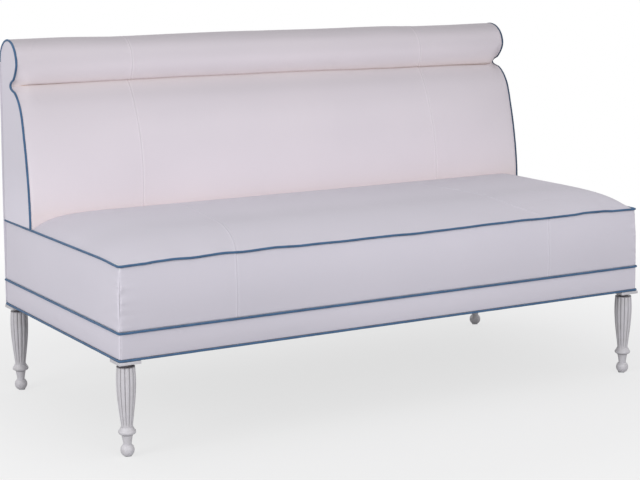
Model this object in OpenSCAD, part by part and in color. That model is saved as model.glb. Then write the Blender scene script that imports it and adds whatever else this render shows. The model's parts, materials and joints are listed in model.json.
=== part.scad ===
// Armless banquette with a tight crowned seat, a roll along the top of its back,
// contrast welting and four turned, reeded legs. Millimetres, Z up, front toward -Y.

/* [Overall] */
// Width of the base over its fabric
body_w = 1572; // [1200:4:2200]
// Depth of the base over its fabric, front to rear
body_d = 770; // [680:2:900]
// Height of the top of the back's roll over its fabric
back_h = 960; // [880:2:1100]
// Height of the welt round the seat's top edge
seat_edge_h = 470; // [445:1:525]
// Height of the welt along the top of the lower band
band_top_h = 308; // [292:1:340]
// Height of the welt along the bottom of the lower band
band_bottom_h = 240; // [222:1:255]

/* [Seat] */
// Rise of the seat's crown over its edge welt
seat_crown = 38; // [20:1:60]
// How far the seat's top edge and the back stand in from the band
edge_in = 4; // [0:0.5:8]
// How far the border's fabric swells between its welts
border_swell = 3; // [0:0.5:4]
// How many times steeper than even the crown rises at the ends
crown_power_x = 16; // [8:1:24]
// How many times steeper than even the crown rises at the front
crown_power_y = 5; // [3:1:8]

/* [Back] */
// Radius of the roll over its fabric
roll_r = 62; // [55:1:70]
// Depth of the back over its fabric, at the seat
face_d = 200; // [185:1:230]
// Depth of the back over its fabric, at its shoulder
shoulder_d = 160; // [150:1:175]
// Drop from the crease under the roll to the shoulder's middle
shoulder_drop = 116; // [90:1:135]
// Swell of the back's front between its ends
back_swell = 8; // [0:1:14]
// How far the end panels' notch is pulled in at the crease
notch_pull = 14; // [8:1:22]

/* [Fabric and padding] */
// Thickness of the cover
cover_t = 1.5; // [1:0.1:2.5]
// Thickness of the padding on the rails
pad_t = 6; // [4:0.5:12]
// Thickness of the padding on the back's ends
end_pad_t = 4; // [2:0.5:6]
// Diameter of the welt
welt_d = 6; // [4:0.5:8]
// How far the welt's middle stands out from the fabric
welt_out = 1.5; // [1:0.1:2]
// Thickness of the board behind the outside back
board_t = 3; // [2:0.5:6]
// Thickness of the cloth over the springs
insulator_t = 2; // [1:0.5:4]
// Thickness of the dust cover under the frame
dust_t = 1; // [0.5:0.1:2]

/* [Frame] */
// Height of the seat rails
rail_h = 140; // [120:1:160]
// Thickness of the seat rails
rail_t = 25; // [20:1:32]
// Side of the square corner posts
post_w = 56; // [50:1:60]
// Thickness of the plywood cheeks
cheek_t = 18; // [15:1:22]
// Thickness of the back rails, front to rear
back_rail_t = 25; // [20:1:30]
// Height of the back rails
back_rail_h = 40; // [30:1:50]
// How far the lower back rail's middle lies above the seat's edge
lower_rail_rise = 37; // [25:1:70]
// Thickness of the uprights and the stretchers
upright_t = 22; // [18:1:30]
// Height of the stretchers
stretcher_h = 60; // [40:1:80]
// Diameter of the pole in the roll
pole_d = 70; // [50:1:80]

/* [Springs] */
// Thickness of the spring wire
wire_t = 3.2; // [2.5:0.1:4]
// Spacing of the springs
spring_pitch = 132; // [110:1:150]
// Width of a spring across its loops
spring_w = 50; // [40:1:60]
// Length of one loop
loop_pitch = 30; // [24:1:36]
// Thickness of the clips' sheet steel
clip_t = 1.2; // [0.8:0.1:2]
// Width of a clip
clip_w = 20; // [14:1:26]

/* [Fasteners] */
// Diameter of the frame's dowels
dowel_d = 10; // [8:1:12]
// Length of the frame's dowels
dowel_l = 40; // [30:1:44]
// Diameter of the frame's screws
screw_d = 5; // [4:0.5:6]
// Diameter of a screw's head
screw_head_d = 10; // [9:0.5:12]
// Thickness of a screw's head
screw_head_t = 3; // [2:0.5:4]
// Length of a screw under its head
screw_l = 45; // [40:1:48]
// Diameter of the legs' hanger bolts
bolt_d = 8; // [6:1:10]
// Length of bolt in the leg
bolt_in_leg = 55; // [40:1:70]
// Length of bolt in the corner post
bolt_in_post = 34; // [28:1:45]
// Diameter of the threaded insert round the bolt
insert_d = 14; // [13:0.5:18]
// Length of the threaded insert
insert_l = 25; // [15:1:27]

/* [Legs] */
// Side of the leg's square top
block_w = 60; // [54:1:70]
// Height of the leg's square top
block_h = 7.5; // [6:0.5:20]
// How far the leg's square top stands out from the base's fabric, under the welt
block_out = 3.5; // [-6:0.5:4]
// Largest diameter of the reeded part
bulb_d = 49; // [42:0.2:54]
// Diameter of the reeded part at its top
bulb_top_d = 42; // [36:0.5:46]
// Diameter of the reeded part at its foot
bulb_foot_d = 28; // [24:0.5:34]
// Height of the shadow recess between the square top and the reeds
recess_h = 8; // [4:0.5:12]
// Diameter of that recess
recess_d = 30; // [26:0.5:34]
// Number of reeds round the leg
reed_n = 12; // [8:1:16]
// Width of the groove between two reeds
groove_w = 2.6; // [1.6:0.1:3.4]
// Depth of the groove between two reeds
groove_d = 2; // [1:0.1:3]
// Diameter of the turned ring
ring_d = 43; // [38:0.5:48]
// Height of the turned ring
ring_h = 17.5; // [12:0.5:22]
// Height of the plain neck under the ring
neck_h = 20.5; // [14:0.5:26]
// Diameter of the neck at the ring
neck_top_d = 30; // [26:0.5:34]
// Diameter of the neck at the ball
neck_foot_d = 21; // [18:0.5:24]
// Diameter of the ball foot
ball_d = 34; // [30:0.5:40]
// How much of the ball is cut flat at the floor
ball_cut = 4; // [3:0.5:8]
// Diameter of the nail-on glide
glide_d = 18; // [14:0.5:20]
// Thickness of the glide
glide_h = 3; // [2:0.5:4]
// Diameter of the glide's nail
nail_d = 2.5; // [2:0.1:3]
// Length of the glide's nail
nail_l = 14; // [10:1:16]

/* [Hidden] */

$fn = 48;

// Gap left between a soft piece and its neighbour
soft_gap = 0.3;
// Radial gap of a dowel, bolt or nail in its bore
bore_gap = 0.05;
// How far a cutting shape runs past the face it cuts
overrun = 1;
// Free depth left at the blind end of a bolt's or nail's bore
end_gap = 1;
// Gap between the dust cover and the legs' square tops
dust_gap = 1;

fabric_colour = "#ece6ea";
welt_colour = "#5c86b4";
leg_colour = "#eceae6";
wood_colour = "#c9a777";
ply_colour = "#d8bd8e";
steel_colour = "#8d9196";
foam_colour = "#f1e3b0";
pad_colour = "#f7f6f2";
cloth_colour = "#b7a98c";
dust_colour = "#35363a";

// Planes of the base, from its fabric inward
half_w = body_w / 2;
half_d = body_d / 2;
welt_r = welt_d / 2;
layer_t = cover_t + soft_gap;
seam_gap = welt_r + soft_gap;
skin_t = max(layer_t, seam_gap - welt_out);
frame_x = half_w - skin_t - pad_t - soft_gap;
frame_y = half_d - skin_t - pad_t - soft_gap;
frame_rear_y = half_d - skin_t - board_t;
frame_h = band_bottom_h - seam_gap;
rail_top = frame_h + rail_h;

// Planes of the seat's top edge and the back
edge_x = half_w - edge_in;
edge_y = half_d - edge_in;
cheek_x = edge_x - skin_t - end_pad_t - soft_gap;
cheek_in_x = cheek_x - cheek_t;
foam_y = edge_y - skin_t - end_pad_t - soft_gap;
cover_x = edge_x - skin_t;
cover_y = edge_y - skin_t;

// Heights and depths of the back, depths counted forward from the rear fabric
roll_z = back_h - roll_r;
crease_z = roll_z - roll_r;
shoulder_z = crease_z - shoulder_drop;
rake_start_z = seat_edge_h + seat_crown / 2;
swell_start_z = seat_edge_h + seat_crown;
post_top = crease_z - layer_t;
back_frame_d = half_d - frame_rear_y + post_w;
back_rail_front = back_frame_d + back_rail_t;
lower_rail_z = seat_edge_h + lower_rail_rise - back_rail_h / 2;
board_top = roll_z - sqrt(pow(roll_r - layer_t, 2) - pow(roll_r - skin_t - board_t - soft_gap, 2));
crown_l = half_d - face_d - soft_gap + cover_y;
seat_rear_y = half_d - face_d - soft_gap;

// Springs and what lies on them
clip_h = 2 * clip_t + wire_t + 2 * soft_gap;
insulator_z = rail_top + clip_h + soft_gap;
foam_z = insulator_z + insulator_t + soft_gap;
insulator_d = back_rail_front + clip_h + soft_gap;
foam_d = insulator_d + insulator_t + soft_gap;
spring_n = 2 * floor((cheek_in_x - spring_w) / spring_pitch) + 1;
upright_x = spring_pitch * (floor(spring_n / 4) + 1 / 2);

// Legs
leg_x = half_w + block_out - block_w / 2;
leg_y = half_d + block_out - block_w / 2;
ball_r = ball_d / 2;
ball_z = glide_h + ball_r - ball_cut;
neck_z = ball_z + sqrt(pow(ball_r, 2) - pow(neck_foot_d / 2, 2));
ring_z = neck_z + neck_h;
bulb_z = ring_z + ring_h;
leg_top = frame_h;
block_z = leg_top - block_h;
bulb_top = block_z - recess_h;
bulb_h = bulb_top - bulb_z;
// Share of the reeded part's height below its widest place
bulb_wide_share = 0.76;
// Shares of a rail's height at which its two dowels lie
dowel_height_shares = [0.25, 0.75];
// Shares of the way from the seat rails to the seat's edge, and on to the post's top,
// at which the cheek's screws lie
low_screw_share = 0.75;
high_screw_share = 0.5;
// Powers of the curves of the roll's underside and of the face's rake
roll_power = 1.5;
rake_power = 1.7;
// Angles at which the roll's underside and the shoulder end at the notch between them
roll_angle = 50;
shoulder_angle = 65;
// Angle at which the shoulder takes over from the face
face_angle = 15;
// Angle round the roll at which its foam ends
foam_angle = 262.5;
// Share of the notch's line that each of its two covers takes
notch_share = 0.49;

// Counts of facets
seat_nu = 24;
seat_nv = 12;
back_nu = 24;
face_nv = 7;
shoulder_nv = 4;
notch_nv = 3;
border_nu = 20;
side_nu = 10;
border_nv = 5;

// Closed solid between two grids of points; rows run along a side, the outer face looks outward
module shell(outer, inner) {
    nu = len(outer) - 1;
    nv = len(outer[0]) - 1;
    count = (nu + 1) * (nv + 1);
    function at(i, j, k) = k * count + i * (nv + 1) + j;
    function quad(a, b, c, d) = [[a, b, c], [a, c, d]];
    faces = [
        for (i = [0:nu - 1], j = [0:nv - 1])
            each quad(at(i, j, 0), at(i, j + 1, 0), at(i + 1, j + 1, 0), at(i + 1, j, 0)),
        for (i = [0:nu - 1], j = [0:nv - 1])
            each quad(at(i, j, 1), at(i + 1, j, 1), at(i + 1, j + 1, 1), at(i, j + 1, 1)),
        for (i = [0:nu - 1])
            each quad(at(i, 0, 0), at(i + 1, 0, 0), at(i + 1, 0, 1), at(i, 0, 1)),
        for (i = [0:nu - 1])
            each quad(at(i, nv, 0), at(i, nv, 1), at(i + 1, nv, 1), at(i + 1, nv, 0)),
        for (j = [0:nv - 1])
            each quad(at(0, j, 0), at(0, j, 1), at(0, j + 1, 1), at(0, j + 1, 0)),
        for (j = [0:nv - 1])
            each quad(at(nu, j, 0), at(nu, j + 1, 0), at(nu, j + 1, 1), at(nu, j, 1)),
    ];
    points = [for (grid = [outer, inner]) for (row = grid) each row];
    polyhedron(points, faces, convexity = 6);
}

// Box from its lowest to its highest corner
module block(low, high) {
    translate(low) cube(high - low);
}

// The same shape at the right and, mirrored, at the left
module both_ends() {
    children();
    mirror([1, 0, 0]) children();
}

// Flat outline of points [depth from the rear, height] raised along X from x0 to x1
module end_slab(outline, x0, x1) {
    translate([x0, half_d, 0])
        rotate([90, 0, 90])
            linear_extrude(x1 - x0)
                mirror([1, 0]) polygon(outline);
}

// Line through points, moved sideways by a distance, to the left of its run
function direction(points, i) =
    let (a = points[max(i - 1, 0)], b = points[min(i + 1, len(points) - 1)])
    (b - a) / norm(b - a);
function beside(points, distance) = [
    for (i = [0:len(points) - 1])
        let (d = direction(points, i))
        points[i] + distance * [-d[1], d[0]],
];

// Profile of the back: roll, crease, shoulder and face, as [depth from the rear, height]
function roll_under(turn) =
    [roll_r + roll_r * pow(cos(turn), 2 / roll_power), roll_z - roll_r * pow(sin(turn), 2 / roll_power)];
function shoulder(turn) =
    [roll_r + (shoulder_d - roll_r) * cos(turn), shoulder_z + shoulder_drop * sin(turn)];
face_top = shoulder(face_angle);
function face_depth(z) =
    let (t = max(z - rake_start_z, 0) / (face_top[1] - rake_start_z))
    face_d - (face_d - face_top[0]) * pow(t, rake_power);
function notch(t) =
    pow(1 - t, 2) * roll_under(roll_angle)
    + 2 * t * (1 - t) * [roll_r - notch_pull, crease_z]
    + pow(t, 2) * shoulder(shoulder_angle);
function shoulder_turn(j) = face_angle + (shoulder_angle - face_angle) * j / shoulder_nv;
function roll_round(turn) = [roll_r + roll_r * cos(turn), roll_z + roll_r * sin(turn)];
upper_rail_z = shoulder(shoulder_angle)[1] - 2 * skin_t - back_rail_h;

// Outline of the back's ends, from the roll's rear round to the foot of the face
end_line = [
    for (turn = [180:-9:9]) roll_round(turn),
    for (turn = [0:10:roll_angle - 10]) roll_under(turn),
    for (t = [0:1 / 6:1]) notch(t),
    for (j = [shoulder_nv - 1:-1:0]) shoulder(shoulder_turn(j)),
    for (t = [1 / 6:1 / 6:1])
        let (z = face_top[1] + (seat_edge_h - face_top[1]) * t)
        [face_depth(z), z],
];

// Outline of a board or panel of the back's end, set in from the profile, standing on a level
function end_outline(inset, rear, foot) =
    let (line = beside(end_line, -inset))
    [
        [rear, foot],
        for (p = line) if (p[1] > foot) [max(p[0], rear), p[1]],
        [face_depth(foot) - inset, foot],
    ];

// Height of the seat's fabric
function seat_z(x, y) =
    let (
        across = 1 - pow(min(abs(x) / cover_x, 1), crown_power_x),
        along = 1 - pow(max(seat_rear_y - y, 0) / crown_l, crown_power_y)
    )
    seat_edge_h + seat_crown * across * max(along, 0);

// Places across and along the seat, closer together at its edges
function seat_across(i) = cover_x * sin(90 * (2 * i / seat_nu - 1));
function seat_along(j) = -cover_y + crown_l * (1 - cos(90 * j / seat_nv));

module seat_cover() {
    outer = [
        for (i = [0:seat_nu])
            [for (j = [0:seat_nv])
                let (x = seat_across(i), y = seat_along(j)) [x, y, seat_z(x, y)]],
    ];
    inner = [for (row = outer) [for (p = row) p - [0, 0, cover_t]]];
    color(fabric_colour) shell(outer, inner);
}

module seat_foam() {
    top = [
        for (i = [0:seat_nu])
            [for (j = [0:seat_nv])
                let (
                    x = max(min(seat_across(i), cheek_x), -cheek_x),
                    y = max(seat_along(j), -foam_y)
                )
                [x, y, seat_z(x, y) - layer_t]],
    ];
    bottom = [for (row = top) [for (p = row) [p[0], p[1], foam_z]]];
    color(foam_colour) shell(top, bottom);
}

// Swell of a border at a share of its height, and how far it has drawn in there
function border_out(v, along) =
    border_swell * sin(180 * v) * (1 - pow(abs(along), 6)) - edge_in * pow(v, 2);
border_foot = band_top_h + seam_gap;
border_head = seat_edge_h - seam_gap;
function border_z(v) = border_foot + (border_head - border_foot) * v;

module front_border() {
    outer = [
        for (i = [0:border_nu])
            [for (j = [0:border_nv])
                let (
                    v = j / border_nv,
                    u = sin(90 * (2 * i / border_nu - 1)),
                    reach = half_w - edge_in * pow(v, 2) - layer_t
                )
                [reach * u, -half_d - border_out(v, u), border_z(v)]],
    ];
    inner = [for (row = outer) [for (p = row) p + [0, cover_t, 0]]];
    color(fabric_colour) shell(outer, inner);
}

module side_border() {
    rear = half_d - layer_t;
    outer = [
        for (i = [0:side_nu])
            [for (j = [0:border_nv])
                let (
                    v = j / border_nv,
                    u = sin(90 * (2 * i / side_nu - 1)),
                    front = -half_d + edge_in * pow(v, 2)
                )
                [half_w + border_out(v, u), (front + rear) / 2 + (rear - front) / 2 * u, border_z(v)]],
    ];
    inner = [for (row = outer) [for (p = row) p - [cover_t, 0, 0]]];
    color(fabric_colour) shell(outer, inner);
}

module left_border() { mirror([1, 0, 0]) side_border(); }
module right_border() { side_border(); }

band_foot = band_bottom_h + seam_gap;
band_head = band_top_h - seam_gap;

module front_band() {
    color(fabric_colour)
        block([-half_w + layer_t, -half_d, band_foot], [half_w - layer_t, -half_d + cover_t, band_head]);
}

module side_band() {
    color(fabric_colour)
        block([half_w - cover_t, -half_d, band_foot], [half_w, half_d - layer_t, band_head]);
}

module left_band() { mirror([1, 0, 0]) side_band(); }
module right_band() { side_band(); }

// Section of a pad: upright over the rail, leaning in to the seat's edge above it
module pad_section(rail_face, edge_face, foam_face) {
    foot = band_bottom_h + seam_gap;
    head = seat_edge_h - layer_t;
    polygon([
        [rail_face + soft_gap, foot],
        [rail_face + soft_gap + pad_t, foot],
        [rail_face + soft_gap + pad_t, band_top_h],
        [edge_face - skin_t, head],
        [foam_face + soft_gap, head],
        [foam_face + soft_gap, foam_z],
        [rail_face + soft_gap, rail_top],
    ]);
}

module front_pad() {
    color(pad_colour)
        translate([-cheek_x, 0, 0])
            rotate([90, 0, 90])
                linear_extrude(2 * cheek_x)
                    mirror([1, 0]) pad_section(frame_y, edge_y, foam_y);
}

module side_pad() {
    front = -edge_y + skin_t;
    color(pad_colour)
        translate([0, frame_rear_y, 0])
            rotate([90, 0, 0])
                linear_extrude(frame_rear_y - front)
                    pad_section(frame_x, edge_x, cheek_x);
}

module left_pad() { mirror([1, 0, 0]) side_pad(); }
module right_pad() { side_pad(); }

// The front of the back from a foot up its face and shoulder to the notch
function back_line(foot) = [
    for (j = [0:face_nv])
        let (z = foot + (face_top[1] - foot) * j / face_nv)
        [face_depth(z), z],
    for (j = [1:shoulder_nv]) shoulder(shoulder_turn(j)),
];
function back_swell_at(x, z) =
    let (t = (z - swell_start_z) / (crease_z - swell_start_z))
    back_swell * (1 - pow(abs(x) / cover_x, 10)) * sin(180 * min(max(t, 0), 1));

module inside_back_cover() {
    line = [
        each back_line(seat_edge_h - seam_gap),
        for (j = [1:notch_nv]) notch(1 - notch_share * j / notch_nv),
    ];
    under = beside(line, cover_t);
    across = [for (i = [0:back_nu]) cover_x * sin(90 * (2 * i / back_nu - 1))];
    outer = [
        for (x = across)
            [for (p = line) [x, half_d - p[0] - back_swell_at(x, p[1]), p[1]]],
    ];
    inner = [
        for (x = across)
            [for (j = [0:len(line) - 1])
                [x, half_d - under[j][0] - back_swell_at(x, line[j][1]), under[j][1]]],
    ];
    color(fabric_colour) shell(outer, inner);
}

module back_foam() {
    line = back_line(foam_z);
    under = beside(line, layer_t);
    reach = cheek_in_x - soft_gap;
    across = [for (i = [0:back_nu]) reach * sin(90 * (2 * i / back_nu - 1))];
    outer = [
        for (x = across)
            [for (j = [0:len(line) - 1])
                [x, half_d - under[j][0] - back_swell_at(x, line[j][1]), max(under[j][1], foam_z)]],
    ];
    inner = [for (row = outer) [for (p = row) [p[0], half_d - foam_d, p[2]]]];
    color(foam_colour) shell(outer, inner);
}

// Line of the roll from the notch round its front and top to an angle at its rear
function roll_line(last_turn) = [
    for (j = [notch_nv:-1:0]) notch(notch_share * j / notch_nv),
    for (turn = [roll_angle - 10:-10:10]) roll_under(turn),
    for (turn = [0:7.5:last_turn]) roll_round(turn),
];

module roll_cover() {
    line = roll_line(180);
    under = beside(line, cover_t);
    outline = concat(line, [for (i = [len(under) - 1:-1:0]) under[i]]);
    color(fabric_colour) end_slab(outline, -cover_x, cover_x);
}

// Foam round the pole
module roll_foam() {
    under = beside(roll_line(foam_angle), layer_t);
    reach = cheek_in_x - soft_gap;
    color(foam_colour)
        difference() {
            end_slab(under, -reach, reach);
            translate([-half_w, half_d - roll_r, roll_z])
                rotate([0, 90, 0])
                    cylinder(h = body_w, d = pole_d + 2 * soft_gap);
        }
}

module end_panel() {
    foot = seat_edge_h + seam_gap;
    color(fabric_colour)
        end_slab(end_outline(skin_t, layer_t, foot), edge_x - cover_t, edge_x);
}

module left_end_panel() { mirror([1, 0, 0]) end_panel(); }
module right_end_panel() { end_panel(); }

module end_pad() {
    foot = seat_edge_h + seam_gap;
    outer = edge_x - skin_t;
    color(pad_colour)
        end_slab(end_outline(skin_t, layer_t, foot), outer - end_pad_t, outer);
}

module left_end_pad() { mirror([1, 0, 0]) end_pad(); }
module right_end_pad() { end_pad(); }

module outside_back_board() {
    color(cloth_colour)
        block([-cheek_x, frame_rear_y, frame_h], [cheek_x, frame_rear_y + board_t, board_top]);
}

module outside_back_cover() {
    cover_top = roll_z - 2 * soft_gap;
    color(fabric_colour)
        translate([0, half_d, 0])
            rotate([90, 0, 0])
                linear_extrude(cover_t)
                    polygon([
                        [-half_w, band_foot],
                        [half_w, band_foot],
                        [half_w, band_top_h],
                        [edge_x, seat_edge_h],
                        [edge_x, cover_top],
                        [-edge_x, cover_top],
                        [-edge_x, seat_edge_h],
                        [-half_w, band_top_h],
                    ]);
}

// Straight round bar from one point to another along X or Y
module bar_x(x0, x1, y, z, d) {
    translate([x0, y, z]) rotate([0, 90, 0]) cylinder(h = x1 - x0, d = d);
}
module bar_y(x, y0, y1, z, d) {
    translate([x, y0, z]) rotate([-90, 0, 0]) cylinder(h = y1 - y0, d = d);
}
module bar_z(x, y, z0, z1, d) {
    translate([x, y, z0]) cylinder(h = z1 - z0, d = d);
}

// Quarter bend of a welt round a corner's centre, from an angle on
module welt_corner(x, y, z, turn) {
    translate([x, y, z])
        rotate([0, 0, turn])
            rotate_extrude(angle = 90)
                translate([seam_gap, 0]) circle(d = welt_d);
}

// Welt round the front and both ends of a level; closed also runs along the rear
module level_welt(x, y, rear, z, closed) {
    run_x = x - seam_gap;
    run_y = y - seam_gap;
    rear_run = closed ? rear - seam_gap : rear;
    color(welt_colour)
        union() {
            bar_x(-run_x, run_x, -y, z, welt_d);
            both_ends() {
                bar_y(x, -run_y, rear_run, z, welt_d);
                welt_corner(run_x, -run_y, z, 270);
            }
            if (closed) {
                bar_x(-run_x, run_x, rear, z, welt_d);
                both_ends() welt_corner(run_x, rear_run, z, 0);
            }
        }
}

module seat_welt() {
    level_welt(edge_x + welt_out, edge_y + welt_out, half_d - layer_t, seat_edge_h, false);
}
module band_top_welt() {
    level_welt(half_w + welt_out, half_d + welt_out, half_d - layer_t, band_top_h, false);
}
module band_bottom_welt() {
    level_welt(half_w + welt_out, half_d + welt_out, half_d + welt_out, band_bottom_h, true);
}

// Welt round the back's end: rings swept along the outline, standing out from it
module back_welt() {
    sides = 8;
    line = [for (p = beside(end_line, welt_out)) if (p[1] > seat_edge_h + seam_gap) p];
    foot = [face_depth(seat_edge_h) + welt_out, seat_edge_h + seam_gap];
    path = concat(line, [foot]);
    last = len(path) - 1;
    points = [
        for (i = [0:last])
            let (d = direction(path, i), across = [-d[1], d[0]])
            for (k = [0:sides - 1])
                let (
                    turn = 360 * k / sides,
                    p = path[i] + welt_r * cos(turn) * across
                )
                [edge_x + welt_out + welt_r * sin(turn), half_d - p[0], p[1]],
    ];
    faces = [
        [for (k = [0:sides - 1]) k],
        [for (k = [sides - 1:-1:0]) last * sides + k],
        for (i = [0:last - 1], k = [0:sides - 1])
            let (a = i * sides + k, b = i * sides + (k + 1) % sides)
            each [[a, a + sides, b], [b, a + sides, b + sides]],
    ];
    color(welt_colour) polyhedron(points, faces, convexity = 8);
}

module left_back_welt() { mirror([1, 0, 0]) back_welt(); }
module right_back_welt() { back_welt(); }

// Frame joints: dowels across the ends of the rails and stretchers
dowel_half = dowel_l / 2;
front_rail_y = -frame_y + rail_t / 2;
rear_rail_y = frame_rear_y - rail_t / 2;
side_rail_x = frame_x - rail_t / 2;
post_in_x = frame_x - post_w;
front_post_y = -frame_y + post_w;
rear_post_y = frame_rear_y - post_w;
stretcher_z = frame_h + stretcher_h / 2;

module dowels(gap) {
    d = dowel_d + 2 * gap;
    both_ends() {
        for (share = dowel_height_shares) {
            z = frame_h + rail_h * share;
            for (y = [front_rail_y, rear_rail_y])
                bar_x(post_in_x - dowel_half, post_in_x + dowel_half, y, z, d);
            for (y = [front_post_y, rear_post_y])
                bar_y(side_rail_x, y - dowel_half, y + dowel_half, z, d);
        }
        bar_y(upright_x, front_rail_y, front_rail_y + dowel_l, stretcher_z, d);
        bar_y(upright_x, rear_rail_y - dowel_l, rear_rail_y, stretcher_z, d);
        bar_z(upright_x, rear_rail_y, rail_top - dowel_half, rail_top + dowel_half, d);
    }
}

module frame_dowels() { color(wood_colour) dowels(0); }

// Screws through the cheeks along X, and through the back rails into the uprights along Y
module screw(gap) {
    translate([0, 0, -screw_head_t]) cylinder(h = screw_head_t, d = screw_head_d + 2 * gap);
    translate([0, 0, -screw_head_t - screw_l]) cylinder(h = screw_l, d = screw_d + 2 * gap);
}

back_rail_levels = [lower_rail_z + back_rail_h / 2, upper_rail_z + back_rail_h / 2];
screw_places = [
    [frame_rear_y - post_w / 2, rail_top + (seat_edge_h - rail_top) * low_screw_share],
    [frame_rear_y - post_w / 2, seat_edge_h + (post_top - seat_edge_h) * high_screw_share],
    for (z = back_rail_levels) [half_d - back_frame_d - back_rail_t / 2, z],
    [half_d - roll_r, roll_z],
];

module screws(gap) {
    both_ends() {
        for (place = screw_places)
            translate([cheek_x, place[0], place[1]]) rotate([0, 90, 0]) screw(gap);
        for (z = back_rail_levels)
            translate([upright_x, half_d - back_rail_front, z]) rotate([90, 0, 0]) screw(gap);
    }
}

module frame_screws() { color(steel_colour) screws(0); }

module front_post() {
    color(wood_colour)
        difference() {
            block([post_in_x, -frame_y, frame_h], [frame_x, front_post_y, rail_top]);
            dowels(bore_gap);
            leg_bores(leg_x, -leg_y);
        }
}

module rear_post() {
    color(wood_colour)
        difference() {
            union() {
                block([post_in_x, rear_post_y, frame_h], [frame_x, frame_rear_y, rail_top]);
                block([post_in_x, rear_post_y, frame_h], [cheek_in_x, frame_rear_y, post_top]);
            }
            dowels(bore_gap);
            screws(bore_gap);
            leg_bores(leg_x, leg_y);
        }
}

// Bores for a leg's insert and bolt in a corner post
module leg_bores(x, y) {
    bar_z(x, y, frame_h - overrun, frame_h + insert_l, insert_d + 2 * bore_gap);
    bar_z(x, y, frame_h - overrun, frame_h + bolt_in_post + end_gap, bolt_d + 2 * bore_gap);
}

module front_left_post() { mirror([1, 0, 0]) front_post(); }
module front_right_post() { front_post(); }
module rear_left_post() { mirror([1, 0, 0]) rear_post(); }
module rear_right_post() { rear_post(); }

module front_rail() {
    color(wood_colour)
        difference() {
            block([-post_in_x, -frame_y, frame_h], [post_in_x, -frame_y + rail_t, rail_top]);
            dowels(bore_gap);
        }
}

module rear_rail() {
    color(wood_colour)
        difference() {
            block([-post_in_x, frame_rear_y - rail_t, frame_h], [post_in_x, frame_rear_y, rail_top]);
            dowels(bore_gap);
        }
}

module side_rail() {
    color(wood_colour)
        difference() {
            block([frame_x - rail_t, front_post_y, frame_h], [frame_x, rear_post_y, rail_top]);
            dowels(bore_gap);
        }
}

module left_side_rail() { mirror([1, 0, 0]) side_rail(); }
module right_side_rail() { side_rail(); }

module stretcher() {
    low = [upright_x - upright_t / 2, -frame_y + rail_t, frame_h];
    high = [upright_x + upright_t / 2, frame_rear_y - rail_t, frame_h + stretcher_h];
    color(wood_colour)
        difference() {
            block(low, high);
            dowels(bore_gap);
        }
}

module left_stretcher() { mirror([1, 0, 0]) stretcher(); }
module right_stretcher() { stretcher(); }

module upright() {
    low = [upright_x - upright_t / 2, rear_post_y, rail_top];
    high = [upright_x + upright_t / 2, frame_rear_y, post_top];
    color(wood_colour)
        difference() {
            block(low, high);
            dowels(bore_gap);
            screws(bore_gap);
        }
}

module left_upright() { mirror([1, 0, 0]) upright(); }
module right_upright() { upright(); }

module cheek() {
    rear = half_d - frame_rear_y;
    inset = skin_t + soft_gap;
    color(ply_colour)
        difference() {
            end_slab(end_outline(inset, rear, rail_top), cheek_in_x, cheek_x);
            screws(bore_gap);
        }
}

module left_cheek() { mirror([1, 0, 0]) cheek(); }
module right_cheek() { cheek(); }

module roll_pole() {
    color(wood_colour)
        difference() {
            bar_x(-cheek_in_x, cheek_in_x, half_d - roll_r, roll_z, pole_d);
            screws(bore_gap);
        }
}

module back_rail(foot) {
    low = [-cheek_in_x, half_d - back_rail_front, foot];
    high = [cheek_in_x, rear_post_y, foot + back_rail_h];
    color(wood_colour)
        difference() {
            block(low, high);
            screws(bore_gap);
        }
}

module upper_back_rail() { back_rail(upper_rail_z); }
module lower_back_rail() { back_rail(lower_rail_z); }

// Sinuous spring lying flat along Y: bars across, joined by half-round bends
function wave(loops, pitch) =
    let (r = pitch / 2, reach = spring_w / 2 - pitch / 2)
    [
        [-reach, 0],
        for (k = [0:loops - 1])
            let (side = k % 2 == 0 ? 1 : -1)
            for (turn = [-60:60:60])
                [side * (reach + r * cos(turn)), (k + 1 / 2) * pitch + r * sin(turn)],
        [(loops % 2 == 0 ? -1 : 1) * -reach, loops * pitch],
    ];

module spring(span) {
    loops = round(span / loop_pitch);
    line = wave(loops, span / loops);
    left = beside(line, wire_t / 2);
    right = beside(line, -wire_t / 2);
    outline = concat(left, [for (i = [len(right) - 1:-1:0]) right[i]]);
    linear_extrude(wire_t) polygon(outline);
}

// Clip folded round a spring's end bar; its mouth looks along +Y
module clip() {
    slot = wire_t + 2 * soft_gap;
    low = [-clip_w / 2, -slot / 2 - clip_t, 0];
    high = [clip_w / 2, loop_pitch / 4, clip_h];
    difference() {
        block(low, high);
        block([-clip_w, -slot / 2, clip_t], [clip_w, loop_pitch, clip_t + slot]);
    }
}

spring_places = [for (i = [0:spring_n - 1]) (i - (spring_n - 1) / 2) * spring_pitch];

module seat_springs() {
    color(steel_colour)
        for (x = spring_places)
            translate([x, front_rail_y, rail_top + clip_t + soft_gap]) spring(rear_rail_y - front_rail_y);
}

module seat_spring_clips() {
    color(steel_colour)
        for (x = spring_places) {
            translate([x, front_rail_y, rail_top]) clip();
            translate([x, rear_rail_y, rail_top]) mirror([0, 1, 0]) clip();
        }
}

module back_springs() {
    y = half_d - back_rail_front - clip_t - soft_gap;
    color(steel_colour)
        for (x = spring_places)
            translate([x, y, back_rail_levels[0]])
                rotate([90, 0, 0]) spring(back_rail_levels[1] - back_rail_levels[0]);
}

module back_spring_clips() {
    y = half_d - back_rail_front;
    color(steel_colour)
        for (x = spring_places) {
            translate([x, y, back_rail_levels[0]]) rotate([90, 0, 0]) clip();
            translate([x, y, back_rail_levels[1]]) rotate([90, 0, 0]) mirror([0, 1, 0]) clip();
        }
}

module seat_insulator() {
    color(cloth_colour)
        block([-cheek_in_x, -foam_y, insulator_z], [cheek_in_x, half_d - foam_d, insulator_z + insulator_t]);
}

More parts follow.
